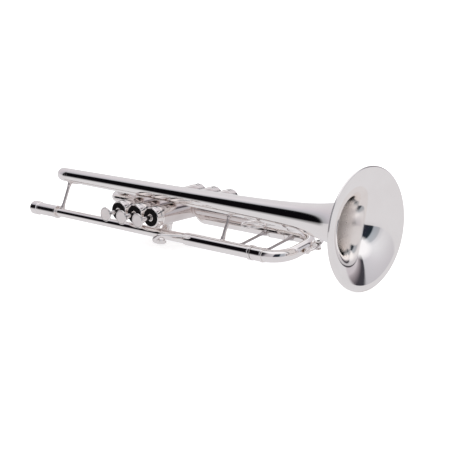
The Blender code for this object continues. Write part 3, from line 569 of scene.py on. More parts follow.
def make_bell():
    """The flare with its rolled rim, from one turned profile.

    Its "throat" attribute grows from 0 to 1 down the inside, from THROAT_START to THROAT_END.
    """
    front = BELL_X - RIM_BEAD_R
    count = 110
    places = [front - (front - BOW_X) * (i / (count - 1)) ** 2.6 for i in range(count)]
    outer, inner = [], []
    for x in places[1:]:
        slope = bell_slope(x)
        lean = math.hypot(slope, 1.0)
        outer.append((x, bell_radius(x)))
        inner.append((x + WALL * slope / lean, bell_radius(x) - WALL / lean))
    middle = Vector((front - RIM_SETBACK, RIM_R - RIM_BEAD_R))
    bead = []
    for degrees in range(-13, 276, 12):
        angle = math.radians(degrees)
        bead.append(tuple(middle + Vector((math.cos(angle), math.sin(angle))) * RIM_BEAD_R))
    outer = [point for point in outer if (Vector(point) - middle).length > RIM_BEAD_R]
    profile = bead + outer + list(reversed(inner))
    sides = 200
    shape = placed(lathed(profile, 0.0, sides), (0, 0, BELL_Z), X)
    shell = piece("bell_shell", "body", BELL_SILVER, shape, "bell", weighted=False, sharp=80)
    first_inner = (len(bead) + len(outer)) * sides
    throat = shell.data.attributes.new("throat", "FLOAT", "POINT")
    for vertex, depth in zip(shell.data.vertices[first_inner:], throat.data[first_inner:]):
        x = (vertex.co.x - ORIGIN.x) / MM
        depth.value = min(max((THROAT_START - x) / (THROAT_START - THROAT_END), 0.0), 1.0)


def make_bell_bow():
    """The bow behind the bell and its tail, with the ferrules at the joints."""
    straight = 1.5
    top = Vector((BOW_X - straight, 0, BELL_Z))
    bottom = Vector((BOW_X - straight, TAIL_Y, TAIL_Z))
    middle = (top + bottom) / 2
    reach = (top - bottom).length / 2
    start_r = bell_radius(BOW_X)
    points, radii = [top + X * 3], [start_r]
    steps = 56
    for i in range(steps + 1):
        angle = math.pi * i / steps
        share = i / steps
        points.append(middle + (top - middle) * math.cos(angle) - X * (reach * math.sin(angle)))
        radii.append(start_r * (1 - share) + TAIL_R * share)
    run = flowing([
        (-100, TAIL_Y, TAIL_Z), (-62, TAIL_Y, TAIL_Z), (-48, TAIL_Y, 6.6),
        (TAIL_END_X, TAIL_Y, TAIL_END_Z),
    ], 8)
    points += run
    radii += [TAIL_R] * len(run)
    shape = merged(
        swept(points, radii, 64),
        collar((BOW_X, 0, BELL_Z), X, start_r + 0.06, 3.6),
        collar((-96, TAIL_Y, TAIL_Z), X, TAIL_R + 0.5, 11, 0.35),
        collar((-38.4, TAIL_Y, 5.6), Vector((1, 0, -0.09)), TAIL_R + 0.5, 2.4),
    )
    piece("bell_bow_tube", "body", SILVER, shape, "bell_bow")


def make_receiver():
    """The mouthpiece's socket: a thick ring, a bead, a plain tube and a ferrule at the leadpipe."""
    length = RECEIVER_FRONT_X - RECEIVER_X
    bead_r, ferrule_r = RECEIVER_R + 0.35, RECEIVER_R + 0.5
    mouth_r, taper_end, bore_r = 5.6, 26, 4.2
    profile = [
        (length, LEAD_REAR_R), (length, ferrule_r), (length - 2.4, ferrule_r),
        (length - 2.8, RECEIVER_R), (12.4, RECEIVER_R), (12.0, bead_r), (11.2, bead_r),
        (10.8, RECEIVER_R + 0.1), (10.2, RECEIVER_RING_R), (1.0, RECEIVER_RING_R),
        (0, RECEIVER_RING_R - 0.7), (0, mouth_r), (taper_end, 4.6), (taper_end, bore_r),
        (length, bore_r),
    ]
    shape = placed(lathed(profile, 0.3), (RECEIVER_X, LEAD_Y, LEAD_Z), X)
    piece("receiver_socket", "body", WORN_SILVER, shape, "mouthpiece_receiver")


def make_leadpipe():
    """The tapered pipe, which runs on a little inside the receiver and the upper sleeve."""
    start = RECEIVER_X + 30
    length = SLEEVE_REAR_X + 2 - start
    profile = [(0, 0), (0, LEAD_REAR_R), (length, LEAD_FRONT_R), (length, 0)]
    shape = placed(lathed(profile, 0.1), (start, LEAD_Y, LEAD_Z), X)
    piece("leadpipe_tube", "body", SILVER, shape, "leadpipe")


def make_sleeves():
    """The outer tubes of the tuning slide, with the rings at their mouths."""
    length = UPPER_SLEEVE_X - SLEEVE_REAR_X
    ring_r, groove_r = SLEEVE_R + 1.0, SLEEVE_R + 0.6
    profile = [
        (0, 0.0), (0, LEAD_FRONT_R + 0.5), (3.5, SLEEVE_R), (length - 4.9, SLEEVE_R),
        (length - 4.5, ring_r), (length - 3.4, ring_r), (length - 3.1, groove_r),
        (length - 1.9, groove_r), (length - 1.6, ring_r), (length, ring_r),
        (length, SLEEVE_R - 0.45), (length - 8, SLEEVE_R - 0.6), (length - 8, 0.0),
    ]
    shape = placed(lathed(profile, 0.2), (SLEEVE_REAR_X, LEAD_Y, LEAD_Z), X)
    piece("upper_sleeve_tube", "body", SILVER, shape, "upper_slide_sleeve")

    corner_x = VALVES[3] + LOWER_Z * ELBOW_LEAN[0] / ELBOW_LEAN[2]
    axis_point = Vector((VALVES[3], LOWER_Y, 0))
    lean = Vector(ELBOW_LEAN).normalized()
    corners = [
        axis_point + lean * 3.0, (corner_x, LOWER_Y, LOWER_Z),
        (LOWER_SLEEVE_X - 2, LOWER_Y, LOWER_Z),
    ]
    mouth = band(SLEEVE_R + 0.65, SLEEVE_R - 0.5, 1.6, -1.6)
    shape = merged(
        swept(bent_path(corners, 9.0, 14), SLEEVE_R, 64),
        placed(lathed(mouth, 0.2), (LOWER_SLEEVE_X, LOWER_Y, LOWER_Z), X))
    piece("lower_sleeve_tube", "body", SILVER, shape, "lower_slide_sleeve")


def slide_direction():
    """The unit vector across the tuning slide, from its upper leg to its lower one."""
    return Vector((0, LOWER_Y - LEAD_Y, LOWER_Z - LEAD_Z)).normalized()


def make_main_slide():
    """The tuning slide: bow, inner legs and ferrules."""
    upper = Vector((0, LEAD_Y, LEAD_Z))
    lower = Vector((0, LOWER_Y, LOWER_Z))
    leg_r, leg_length, hidden = SLEEVE_R - 0.9, 70, 68
    upper_front = UPPER_SLEEVE_X + UPPER_FERRULE_LENGTH
    lower_front = LOWER_SLEEVE_X + LOWER_FERRULE_LENGTH
    path = bent_path([
        upper + X * (upper_front - 1), upper + X * SLIDE_X,
        lower + X * SLIDE_X, lower + X * (lower_front - 1),
    ], SLIDE_CORNER_R, 28)
    shapes = [swept(path, SLIDE_BOW_R, 64)]
    for start, end, sleeve_x in (
        (upper, upper_front, UPPER_SLEEVE_X), (lower, lower_front, LOWER_SLEEVE_X),
    ):
        length = end - sleeve_x - GAP
        ferrule = [
            (0, leg_r), (0, FERRULE_R), (length - 3.0, FERRULE_R), (length - 2.7, FERRULE_R + 0.4),
            (length - 1.7, FERRULE_R + 0.4), (length - 1.4, FERRULE_R), (length - 0.2, FERRULE_R),
            (length, FERRULE_R - 0.4), (length, leg_r),
        ]
        shapes.append(placed(lathed(ferrule, 0.18), start + X * (sleeve_x + GAP), X))
        leg = lathed(bar(leg_r, leg_length), 0.1)
        shapes.append(placed(leg, start + X * (sleeve_x + GAP - hidden), X))
    piece("tuning_slide", "main_slide", SILVER, merged(*shapes), "main_slide_bow")


def make_casing(number):
    """A valve's casing: a tube with a ring near each end and a collar at each port."""
    x = VALVES[number]
    length = CASING_BOTTOM - CASING_TOP
    casing = [
        (7.0, CASING_BORE), (7.0, CASING_R + 0.35), (9.4, CASING_R + 0.35), (9.8, CASING_R),
        (length - 9.8, CASING_R), (length - 9.4, CASING_R + 0.3), (length - 7, CASING_R + 0.3),
        (length - 7, CASING_BORE),
    ]
    shapes = [placed(lathed(casing, 0.2), (x, CASING_TOP, 0), Y)]
    for port, direction, radius in PORTS[number]:
        centre = Vector((x, port, THIRD_Z if number == 3 else 0))
        place = centre + Vector(direction) * (CASING_R + 1.0)
        shapes.append(collar(place, direction, radius + 0.75, 3.0))
    piece("valve_casing_tube_%d" % number, "body", DARK_PAINTED_SHADE_SILVER, merged(*shapes),
          "valve_casing_%d" % number)


def make_top_cap(number):
    """The cap that the stem comes through, with its knurled edge and its ring of felt."""
    x = VALVES[number]
    height = 10.7
    side_r, groove_r = TOP_CAP_R - 0.3, TOP_CAP_R - 0.9
    cap = [
        (-0.6, STEM_R + GAP), (-0.6, 4.0), (0.0, 4.3), (0.0, TOP_CAP_R - 1.1),
        (0.5, TOP_CAP_R - 0.5), (1.1, side_r), (5.4, side_r), (5.8, groove_r), (6.4, groove_r),
        (6.8, side_r), (height, side_r), (height, STEM_R + GAP),
    ]
    ridge = knurled(TOP_CAP_R, TOP_CAP_R - 2.0, 2.0, 7.7, 44, 0.10)
    shape = merged(
        placed(lathed(cap, 0.2), (x, TOP_CAP_FACE, 0), Y),
        placed(ridge, (x, TOP_CAP_FACE, 0), Y))
    piece("top_cap_shell_%d" % number, "body", SILVER, shape, "top_cap_%d" % number)

    pad = band(FELT_R, 4.6, 0.95)
    shape = placed(lathed(pad, 0.35), (x, TOP_CAP_FACE - 1.0, 0), Y)
    piece("felt_ring_%d" % number, "body", FELT, shape, "top_felt_%d" % number)


def make_bottom_cap(number):
    """The cap below the casing: two grooves round its side, and a dished face with a hole."""
    height = 12.0
    groove_r = BOTTOM_CAP_R - 0.7
    cap = [
        (0, 0), (0, BOTTOM_CAP_R), (2.6, BOTTOM_CAP_R), (3.0, groove_r), (3.8, groove_r),
        (4.2, BOTTOM_CAP_R), (6.0, BOTTOM_CAP_R), (6.4, groove_r), (7.2, groove_r),
        (7.6, BOTTOM_CAP_R), (height - 1.2, BOTTOM_CAP_R), (height, BOTTOM_CAP_R - 1.6),
        (height, 6.4), (height - 0.5, 6.0), (height - 0.5, 2.5), (height - 3, 2.4), (height - 3, 0),
    ]
    shape = placed(lathed(cap, 0.25), (VALVES[number], BOTTOM_CAP_FACE - height, 0), Y)
    piece("bottom_cap_shell_%d" % number, "body", SILVER, shape, "bottom_cap_%d" % number)


def make_button(number):
    """The stem, the finger button on it, and the button's pearl."""
    x = VALVES[number]
    body = "valve_%d" % number
    top = BUTTON_FACE + BUTTON_THICKNESS
    stem = [(0, 0), (0, 3.2), (0.4, 3.2), (0.8, STEM_R), (24, STEM_R), (24, 0)]
    shape = placed(lathed(stem, 0.3, 48), (x, top - 0.4, 0), Y)
    piece("stem_rod_%d" % number, body, WORN_SILVER, shape, "valve_stem_%d" % number)

    inlay = BUTTON_R - 1.0
    button = [
        (BUTTON_THICKNESS, 0), (BUTTON_THICKNESS, 3.4), (BUTTON_THICKNESS - 0.6, BUTTON_R - 2.2),
        (BUTTON_THICKNESS - 1.6, BUTTON_R - 0.3), (BUTTON_THICKNESS - 2.2, BUTTON_R),
        (0.5, BUTTON_R), (0.0, BUTTON_R - 0.5), (0.15, inlay), (1.0, inlay), (1.0, 0),
    ]
    shape = placed(lathed(button, 0.3), (x, BUTTON_FACE, 0), Y)
    piece("button_rim_%d" % number, body, WORN_SILVER, shape, "finger_button_%d" % number)
    disc = [(0.9, 0), (0.9, inlay - 0.1), (0.3, inlay - 0.1), (0.12, inlay - 0.9), (0.35, 0)]
    shape = placed(lathed(disc, 0.3), (x, BUTTON_FACE, 0), Y)
    piece("pearl_disc_%d" % number, body, PEARL, shape, "button_pearl_%d" % number)


def make_valve_spring(number):
    """The coil spring under a piston, made at one fixed length; nothing here shortens it as the
    valve goes down.
    """
    coil_r, wire_r, turns = 5.2, 0.55, 6
    fixed_end = BOTTOM_CAP_FACE - 3.9
    start, end = PISTON_BOTTOM - PISTON_CUP + 1.1, fixed_end - 1.0
    place = Vector((VALVES[number], start, 0))
    coil = swept(helix(place, Y, X, coil_r, turns, end - start), wire_r, 12)
    name = "valve_spring_coil_%d" % number
    spring = piece(name, "body", STEEL, coil, "valve_spring_%d" % number)
    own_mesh(spring)


def make_knuckles():
    """The tubes between the casings, each with a ring round its middle."""
    for first, y in ((1, 30.0), (2, 34.0)):
        x = VALVES[first] + VALVE_PITCH / 2
        shape = merged(
            placed(lathed(band(5.8, 1.0, 7.0, -3.5), 0.2), (x, y, 0), X),
            placed(lathed(band(6.5, 1.0, 1.2, -0.6), 0.3), (x, y, 0), X))
        name = "knuckle_%d_to_%d" % (first, first + 1)
        piece("tube_" + name, "body", DARK_PAINTED_SHADE_SILVER, shape, name)


def u_points(axis, legs, height, inside, bend, steps=32):
    """The path of a valve slide's crook: a leg, a half circle and the leg back."""
    axis = Vector(axis)
    half = (legs[1] - legs[0]) / 2
    middle = Vector((0, (legs[1] + legs[0]) / 2, height))
    points = [middle - Y * half + axis * inside]
    for i in range(steps + 1):
        angle = math.pi * i / steps
        reach = bend + half * math.sin(angle)
        points.append(middle - Y * (half * math.cos(angle)) + axis * reach)
    points.append(middle + Y * half + axis * inside)
    return points


def make_valve_slide(body, axis, legs, height, inside, sleeve_start, sleeve_end, bend):
    """A valve's slide: makes the crook with its ferrules, and returns the two ringed sleeves."""
    axis = Vector(axis)
    crook = u_points(axis, legs, height, sleeve_end + 1.0, bend)
    moving = [swept(crook, CROOK_R, 56)]
    fixed = []
    for leg in legs:
        start = Vector((0, leg, height))
        leg_bar = lathed(bar(LEG_R, sleeve_end - inside + 2), 0.1, 64)
        moving.append(placed(leg_bar, start + axis * inside, axis))
        length = sleeve_end - sleeve_start
        ring = min(3.0, length / 4)
        sleeve = [
            (0, 0), (0, LEG_SLEEVE_R - 0.3), (length - ring - 0.3, LEG_SLEEVE_R - 0.3),
            (length - ring, LEG_SLEEVE_R), (length, LEG_SLEEVE_R), (length, LEG_R + 0.35),
            (length - 1.5, LEG_R + 0.2), (length - 1.5, 0),
        ]
        fixed.append(placed(lathed(sleeve, 0.2, 72), start + axis * sleeve_start, axis))
        if abs(bend - sleeve_end) > 8:
            place = start + axis * (sleeve_end + 4.6)
            moving.append(collar(place, axis, CROOK_R + 0.45, 8.4, 0.25))
        elif abs(bend - sleeve_end) > 0.6:
            moving.append(collar(start + axis * (sleeve_end + 0.7), axis, CROOK_R + 0.3, 0.9))
    name = body + "_crook"
    piece(name, body, SILVER, merged(*moving), name)
    return fixed


def rod_between(start, end, radius=ROD_R, soft=0.2):
    """A plain round rod from one place to another."""
    start, end = Vector(start), Vector(end)
    return placed(lathed(bar(radius, (end - start).length), soft, 32), start, end - start)


def tie(x, legs, height):
    """The rod that ties a slide's two sleeves together, with a washer on each."""
    shapes = [rod_between((x, legs[0] + 5, height), (x, legs[1] - 5, height))]
    for leg, side in zip(legs, (1, -1)):
        shapes.append(collar((x, leg + side * (LEG_SLEEVE_R + 0.2), height), Y, 2.8, 1.2))
    return shapes


def make_valve_slides():
    fixed = make_valve_slide(
        "first_slide", -X, FIRST_LEGS, 0, CASING_R - VALVES[1] + 2, CASING_R - VALVES[1] - 1,
        -FIRST_SLEEVE_X, -FIRST_BEND_X)
    fixed += tie(FIRST_TIE_X, FIRST_LEGS, 0)
    piece("first_sleeve_pair", "body", DARK_PAINTED_SHADE_SILVER, merged(*fixed), "first_slide_sleeves")

    fixed = make_valve_slide(
        "second_slide", -Z, SECOND_LEGS, 0, CASING_R + 0.9, CASING_R - 1.5,
        -SECOND_SLEEVE_Z, -SECOND_BEND_Z)
    for shape, side in zip(fixed, ("upper", "lower")):
        piece("second_sleeve_" + side, "body", SILVER, shape, "second_slide_sleeve_" + side)

    fixed = make_valve_slide(
        "third_slide", X, THIRD_LEGS, THIRD_Z, VALVES[3] + CASING_R + 12, VALVES[3] + CASING_R - 1,
        THIRD_SLEEVE_X, THIRD_BEND_X)
    fixed += tie(THIRD_TIE_X, THIRD_LEGS, THIRD_Z)
    piece("third_sleeve_pair", "body", DARK_PAINTED_SHADE_SILVER, merged(*fixed), "third_slide_sleeves")


def brace(name, body, finish, start, end, start_r, end_r, sway, foot_r, rod_r=ROD_R, run=0.0):
    """A cross brace between two tubes' axes: a rod that may sway, with spreading feet.

    Its first foot may run on along the tube, towards the bell.
    """
    start, end = Vector(start), Vector(end)
    along = (end - start).normalized()
    near, far = start + along * (start_r - 0.5), end - along * (end_r - 0.5)
    stations = []
    for share, swing, radius in (
        (0.0, 0, foot_r), (0.05, 0, foot_r - 0.5), (0.11, 0, rod_r + 0.5), (0.2, 0.1, rod_r),
        (0.35, 0.8, rod_r), (0.5, 0.0, rod_r), (0.65, -0.8, rod_r), (0.8, -0.1, rod_r),
        (0.89, 0, rod_r + 0.5), (0.95, 0, foot_r - 0.5), (1.0, 0, foot_r),
    ):
        point = near.lerp(far, share) + X * (swing * sway)
        stations.append((*point, radius))
    shapes = [tapered(stations, 6)]
    if run:
        shapes.append(tapered([
            (*(near - X * 5), 0.3), (*near, 1.5), (*(near + X * run / 2), 1.2),
            (*(near + X * run), 0.3),
        ], sides=24))
    piece(name + "_rod", body, finish, merged(*shapes), name, sharp=80)


def make_braces():
    bell, lead, lower = (0, BELL_Z), (LEAD_Y, LEAD_Z), (LOWER_Y, LOWER_Z)
    brace("rear_brace", "body", DARK_PAINTED_SHADE_SILVER,
          (REAR_BRACE_X + BRACE_LEAN, *bell), (REAR_BRACE_X - BRACE_LEAN, *lead),
          bell_radius(BOW_X), LEAD_REAR_R + 0.3, 0.0, 3.0, BELL_ROD_R, BRACE_RUN)
    brace("front_brace", "body", DARK_PAINTED_SHADE_SILVER,
          (FRONT_BRACE_X + BRACE_LEAN, *bell), (FRONT_BRACE_X - BRACE_LEAN, *lead),
          bell_radius(FRONT_BRACE_X), SLEEVE_R, 0.4, 2.8, BELL_ROD_R)
    brace("sleeve_brace", "body", SHADED_SILVER,
          (SLEEVE_BRACE_X, *lead), (SLEEVE_BRACE_X, *lower), SLEEVE_R, SLEEVE_R, 0.0, 3.4)
    brace("slide_brace", "main_slide", SHADED_SILVER,
          (SLIDE_BRACE_X, *lead), (SLIDE_BRACE_X, *lower), FERRULE_R, SLIDE_BOW_R, 0.0, 3.4)


def make_finger_hook():
    """The little finger's hook: an arm that thickens towards its curled tip, on a small foot."""
    foot_x = SLEEVE_REAR_X + 6.0
    corners = [
        (foot_x + 4.0, LEAD_Y - 6.3, LEAD_Z + 4.3), (foot_x - 2.0, LEAD_Y - 8.2, LEAD_Z + 5.0),
        (foot_x - 20.0, LEAD_Y - 24.0, LEAD_Z + 6.5), (foot_x - 28.0, LEAD_Y - 26.0, LEAD_Z + 0.5),
        (foot_x - 28.0, LEAD_Y - 19.0, LEAD_Z - 2.0), (foot_x - 25.5, LEAD_Y - 16.0, LEAD_Z - 2.2),
    ]
    points = bent_path(corners, 3.6, 12)
    growth_start, growth_length = 0.35, 0.45
    radii = []
    for i in range(len(points)):
        along = i / (len(points) - 1)
        growth = min(max(along - growth_start, 0.0) / growth_length, 1.0)
        radii.append(HOOK_WIRE_R + (HOOK_TIP_R - HOOK_WIRE_R) * growth)
    foot = tapered([
        (foot_x + 7.0, LEAD_Y - 5.6, LEAD_Z + 3.6, 0.5),
        (foot_x + 4.0, LEAD_Y - 6.0, LEAD_Z + 3.8, 1.5),
        (foot_x + 1.0, LEAD_Y - 6.0, LEAD_Z + 3.9, 1.6),
        (foot_x - 2.0, LEAD_Y - 5.4, LEAD_Z + 3.6, 0.5),
    ])
    shape = merged(swept(points, radii, 36, round_ends=True), foot)
    piece("little_finger_hook", "body", WORN_SILVER, shape, "finger_hook", sharp=80)


def make_pull_knob():
    """The second slide's knob, which ends just above the floor."""
    middle = (SECOND_LEGS[0] + SECOND_LEGS[1]) / 2
    crook = -SECOND_BEND_Z + (SECOND_LEGS[1] - SECOND_LEGS[0]) / 2 + CROOK_R
    end = RIM_R - BELL_Z - 0.4
    profile = [
        (end, 0), (end, 4.0), (end - 1.2, 5.5), (crook + 3.4, 5.5), (crook + 2.6, 4.9),
        (crook + 1.4, 2.6), (crook - 1.5, 3.0), (crook - 1.5, 0),
    ]
    shape = placed(lathed(profile, 0.5), (0, middle, 0), -Z)
    piece("slide_pull_knob", "second_slide", WORN_SILVER, shape, "pull_knob")


def make_thumb_saddle():
    """The thumb's saddle, a bent strip with soft edges."""
    middle_x = (FIRST_SLEEVE_X + FIRST_BEND_X) / 2
    base = Vector((middle_x, FIRST_LEGS[0], CROOK_R + GAP + 0.6))
    half_width, depth, rise = 7.5, 13.0, 3.5
    side = [(half_width + 1.5, depth), (half_width + 0.3, depth * 0.75), (half_width, depth / 2)]
    outline = [(-x, z) for x, z in side]
    for degrees in range(180, -1, -12):
        angle = math.radians(degrees)
        outline.append((half_width * math.cos(angle), rise - rise * math.sin(angle)))
    outline += reversed(side)
    smooth = flowing([(x, 0, z) for x, z in outline], 3)
    half_across, half_thick = 5.5, 0.55
    flat, edge = half_across - 0.3, 0.2
    section = [
        (-half_across, edge), (-flat, half_thick), (flat, half_thick), (half_across, edge),
        (half_across, -edge), (flat, -half_thick), (-flat, -half_thick), (-half_across, -edge),
    ]
    vertices = []
    for i, point in enumerate(smooth):
        ahead = smooth[min(i + 1, len(smooth) - 1)] - smooth[max(i - 1, 0)]
        normal = Vector((-ahead.z, 0, ahead.x)).normalized()
        vertices += [base + point + Y * across + normal * thick for across, thick in section]
    shape = (vertices, skinned(len(smooth), len(section)))
    piece("thumb_saddle_strip", "first_slide", WORN_SILVER, shape, "thumb_saddle", sharp=60)


def make_finger_ring():
    """The third slide's ring, on a washer against the slide's upper leg."""
    ring_r, wire_r = 11.8, 1.7
    leg_top = THIRD_LEGS[0] - CROOK_R - GAP
    centre = Vector((THIRD_SLEEVE_X + 1.0 + ring_r, leg_top - wire_r - ring_r, THIRD_Z))
    sides = 20
    profile = []
    for k in range(sides):
        angle = 2 * math.pi * k / sides
        profile.append((wire_r * math.sin(angle), ring_r + wire_r * math.cos(angle)))
    shape = merged(
        placed(lathed(profile, 0.0, 96), centre, Z),
        collar((centre.x, leg_top - 0.2, THIRD_Z), Y, 2.9, 1.6))
    piece("third_finger_ring", "third_slide", WORN_SILVER, shape, "finger_ring", sharp=80)


def make_stop_rod():
    """The rod that stops the third slide: a cross bar, two nuts at its end, and a guide's eye."""
    middle_y = (THIRD_LEGS[0] + THIRD_LEGS[1]) / 2
    guide_x, bar_x = 108.0, 129.0
    nut_x = guide_x - 3.2 - THIRD_THROW - 3.0
    half = (THIRD_LEGS[1] - THIRD_LEGS[0]) / 2
    shape = merged(
        rod_between((nut_x, middle_y, THIRD_Z), (bar_x, middle_y, THIRD_Z), 1.3),
        placed(knurled(3.0, 1.0, 1.7, 0.0, 18, 0.3), (nut_x, middle_y, THIRD_Z), X),
        placed(knurled(2.6, 1.0, 1.2, 1.8, 18, 0.3), (nut_x, middle_y, THIRD_Z), X),
        rod_between(
            (bar_x, middle_y - half + 5, THIRD_Z), (bar_x, middle_y + half - 5, THIRD_Z), 1.6),
    )
    piece("stop_rod_and_nuts", "third_slide", WORN_SILVER, shape, "third_stop_rod")
    profile = [
        (-4.5, 0), (-4.5, 2.9), (-3.2, 2.0), (-2.2, 3.2),
        (2.2, 3.2), (3.2, 2.0), (4.5, 2.9), (4.5, 0),
    ]
    shape = placed(lathed(profile, 0.4, 48), (guide_x, middle_y, THIRD_Z), Y)
    piece("stop_rod_eye", "body", WORN_SILVER, shape, "stop_rod_guide")


# --- water key ---
def bow_point(degrees, radius, aside=0.0):
    """A place round the tuning slide's lower corner: angle from +X, distance from its centre."""
    across = slide_direction()
    width = math.hypot(LOWER_Y - LEAD_Y, LOWER_Z - LEAD_Z)
    centre = Vector((SLIDE_X - SLIDE_CORNER_R, LEAD_Y, LEAD_Z)) + across * (width - SLIDE_CORNER_R)
    angle = math.radians(degrees)
    outward = X * math.cos(angle) + across * math.sin(angle)
    return centre + outward * radius + X.cross(across) * aside


def facing_disc(degrees, inner, outer, radius, soft=0.25):
    """A round solid that faces the bow, between two distances from the corner's centre."""
    start, end = bow_point(degrees, inner), bow_point(degrees, outer)
    return placed(lathed(bar(radius, (end - start).length), soft, 56), start, end - start)


def key_pin(degrees, radius, near, far, pin_r, soft=0.2):
    """A round solid across the bow's plane, from one side distance to the other."""
    start, end = bow_point(degrees, radius, near), bow_point(degrees, radius, far)
    return rod_between(start, end, pin_r, soft)


def make_water_key():
    """The drain's nipple, the cork on its lever, and the lever's saddle, screw and spring."""
    surface = SLIDE_CORNER_R + SLIDE_BOW_R
    nipple_top = surface + 1.8
    cork_top = nipple_top + 2.1
    shape = merged(
        facing_disc(KEY_CORK_ANGLE, surface - 1.5, nipple_top - 0.7, 2.6, 0.4),
        facing_disc(KEY_CORK_ANGLE, surface - 1.5, nipple_top, 1.9, 0.3))
    piece("drain_nipple", "main_slide", SILVER, shape, "water_key_nipple")
    pad = facing_disc(KEY_CORK_ANGLE, nipple_top + 0.1, cork_top + 0.3, 2.9, 0.5)
    piece("cork_pad", "water_key", CORK, pad, "water_key_cork")
    arm = [
        (KEY_CORK_ANGLE - 3, cork_top + 1.2, 0.9), (KEY_CORK_ANGLE + 4, cork_top + 1.8, 1.3),
        (0, KEY_PIVOT_R + 0.8, 1.3), (KEY_PIVOT_ANGLE, KEY_PIVOT_R + 0.4, 1.4),
        (34, KEY_PIVOT_R + 1.2, 1.4), (44, KEY_PIVOT_R + 1.8, 2.1),
        (50, KEY_PIVOT_R + 2.0, 2.6), (52, KEY_PIVOT_R + 2.0, 1.2),
    ]
    shape = merged(
        tapered([(*bow_point(degrees, reach), radius) for degrees, reach, radius in arm]),
        facing_disc(KEY_CORK_ANGLE, cork_top - 0.9, cork_top + 1.5, 3.4, 0.6),
        key_pin(KEY_PIVOT_ANGLE, KEY_PIVOT_R, -3.2, 3.2, 1.9))
    piece("water_key_arm", "water_key", SILVER, shape, "water_key_lever", sharp=60)
    shapes = [facing_disc(KEY_PIVOT_ANGLE, surface - 1.0, surface + 1.2, 5.2, 0.5)]
    for near, far in ((-4.8, -3.6), (3.6, 4.8)):
        shapes.append(key_pin(KEY_PIVOT_ANGLE, KEY_PIVOT_R - 1.2, near, far, 3.4, 0.3))
    piece("water_key_mount", "main_slide", SILVER, merged(*shapes), "water_key_saddle")
    shape = merged(
        key_pin(KEY_PIVOT_ANGLE, KEY_PIVOT_R, -5.6, 5.6, 0.7),
        key_pin(KEY_PIVOT_ANGLE, KEY_PIVOT_R, 4.8, 5.6, 1.5, 0.3))
    piece("hinge_screw", "main_slide", STEEL, shape, "water_key_screw")
    make_key_spring()


def make_key_spring():
    """The coil round the lever's tube, near one end of it."""
    coil_r, wire_r, turns = 2.55, 0.3, 2
    first_aside = 1.75
    centre = bow_point(KEY_PIVOT_ANGLE, KEY_PIVOT_R)
    outward = (bow_point(KEY_PIVOT_ANGLE, KEY_PIVOT_R + 1) - centre).normalized()
    aside = (bow_point(KEY_PIVOT_ANGLE, KEY_PIVOT_R, 1) - centre).normalized()
    coil = helix(centre + aside * first_aside, aside, outward, coil_r, turns, 1.0)
    piece("key_spring_coil", "main_slide", STEEL, swept(coil, wire_r, 12), "water_key_spring")


PORTS = {
    1: [(y, -X, LEG_SLEEVE_R) for y in FIRST_LEGS],
    2: [(y, -Z, LEG_SLEEVE_R) for y in SECOND_LEGS],
    3: [(y, X, LEG_SLEEVE_R) for y in THIRD_LEGS],
}


# --- floor, light and camera ---
def make_floor():
    """A wide pale table, faintly lit from within.

    Polished parts don't mirror it, but the studio's own table tone.
    """
    mesh = bpy.data.meshes.new("floor")
    half = 20.0
    corners = [(-half, -half, 0), (half, -half, 0), (half, half, 0), (-half, half, 0)]
    mesh.from_pydata(corners, [], [(0, 1, 2, 3)])
    floor = bpy.data.objects.new("floor", mesh)
    bpy.context.scene.collection.objects.link(floor)
    floor.visible_glossy = False
    made = Surface(
        "pale_floor", Roughness=0.9, Specular_IOR_Level=0.1,
        Emission_Color=(*WHITE, 1.0), Emission_Strength=0.6)
    made.colour(made.ramp(made.noise(3, 2), [(0.3, (0.78,) * 3), (0.7, (0.80,) * 3)]))
    mesh.materials.append(made.material)


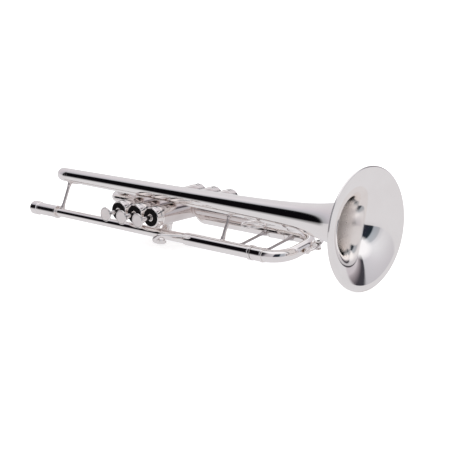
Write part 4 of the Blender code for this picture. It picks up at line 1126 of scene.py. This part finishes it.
def make_world():
    """A pale studio whose walls, table and ceiling are what the polished parts mirror.

    Matt parts are lit by plain white instead, and the camera sees plain white behind the trumpet.
    """
    world = bpy.data.worlds.new("studio")
    bpy.context.scene.world = world
    made = Nodes(world, "Generated")
    axes = made.add("ShaderNodeSeparateXYZ")
    made.link(made.place, axes.inputs["Vector"])
    height = axes.outputs["Z"]
    azimuth = made.add("ShaderNodeMath", operation="ARCTAN2")
    made.link(axes.outputs["Y"], azimuth.inputs[0])
    made.link(axes.outputs["X"], azimuth.inputs[1])
    around = made.spread(azimuth.outputs["Value"], 0.0, 1.0, -math.pi, math.pi)
    walls = made.ramp(around, [((degrees + 180) / 360, tone) for degrees, tone in WALLS])
    wall_height = made.spread(height, 0.0, 1.0, 0.0, WALL_TOP)
    shade = made.ramp(wall_height, [(0.0, WALL_FOOT_TONE), (1.0, WHITE)])
    walls = made.mixed(walls, shade, 1.0, "MULTIPLY")
    room = made.mixed(walls, CEILING, made.spread(height, 0.0, 1.0, WALL_TOP, CEILING_START))
    gloss_stops = [((degrees + 180) / 360, (share,) * 3) for degrees, share in TABLE_GLOSS]
    gloss = made.ramp(around, gloss_stops)
    nearness = made.spread(height, 0.0, 1.0, -TABLE_SHEEN, 0.0)
    table = made.mixed(TABLE, made.mixed(TABLE, walls, gloss), nearness)
    room = made.mixed(table, room, made.spread(height, 0.0, 1.0, -HORIZON_BLUR, HORIZON_BLUR))
    room = made.mixed(room, SILVER_BALANCE, 1.0, "MULTIPLY")
    path = made.add("ShaderNodeLightPath")
    tone = made.mixed(room, WHITE, path.outputs["Is Diffuse Ray"])
    tone = made.mixed(tone, WHITE, path.outputs["Is Camera Ray"])
    made.link(tone, made.tree.nodes["Background"].inputs["Color"])


def make_softbox():
    """A broad lamp high over the trumpet, for the matt parts and a faint shadow."""
    lamp = bpy.data.lights.new("softbox", "AREA")
    lamp.shape = "RECTANGLE"
    lamp.size, lamp.size_y = 2.4, 2.4
    lamp.energy = 25
    light = bpy.data.objects.new("softbox", lamp)
    bpy.context.scene.collection.objects.link(light)
    light.location = (-0.6, 0.9, 2.6)
    light.rotation_euler = (-light.location).to_track_quat("-Z", "Y").to_euler()
    light.visible_glossy = False


def make_camera():
    """A long lens from the bell's side and a little above, as the photograph was taken."""
    lens = bpy.data.cameras.new("camera")
    lens.sensor_width = 36.0
    lens.lens = LENS
    camera = bpy.data.objects.new("camera", lens)
    bpy.context.scene.collection.objects.link(camera)
    turn = (
        Matrix.Rotation(math.radians(90 + CAMERA_AZIMUTH), 4, "Z")
        @ Matrix.Rotation(math.radians(90 - CAMERA_ELEVATION), 4, "X")
        @ Matrix.Rotation(math.radians(CAMERA_ROLL), 4, "Z"))
    camera.matrix_world = Matrix.Translation(ORIGIN + Vector(CAMERA_PLACE) * MM) @ turn
    lens.clip_end = 60.0
    bpy.context.scene.camera = camera


make_bell()
make_bell_bow()
make_receiver()
make_leadpipe()
make_sleeves()
make_main_slide()
for valve in VALVES:
    make_casing(valve)
    make_top_cap(valve)
    make_bottom_cap(valve)
    make_button(valve)
    make_valve_spring(valve)
    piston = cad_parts["piston_%d" % valve]
    piston.data.materials.clear()
    piston.data.materials.append(NICKEL)
make_knuckles()
make_valve_slides()
make_braces()
make_finger_hook()
make_pull_knob()
make_thumb_saddle()
make_finger_ring()
make_stop_rod()
make_water_key()

make_floor()
make_world()
make_softbox()
make_camera()
bpy.context.scene.view_settings.view_transform = "Standard"
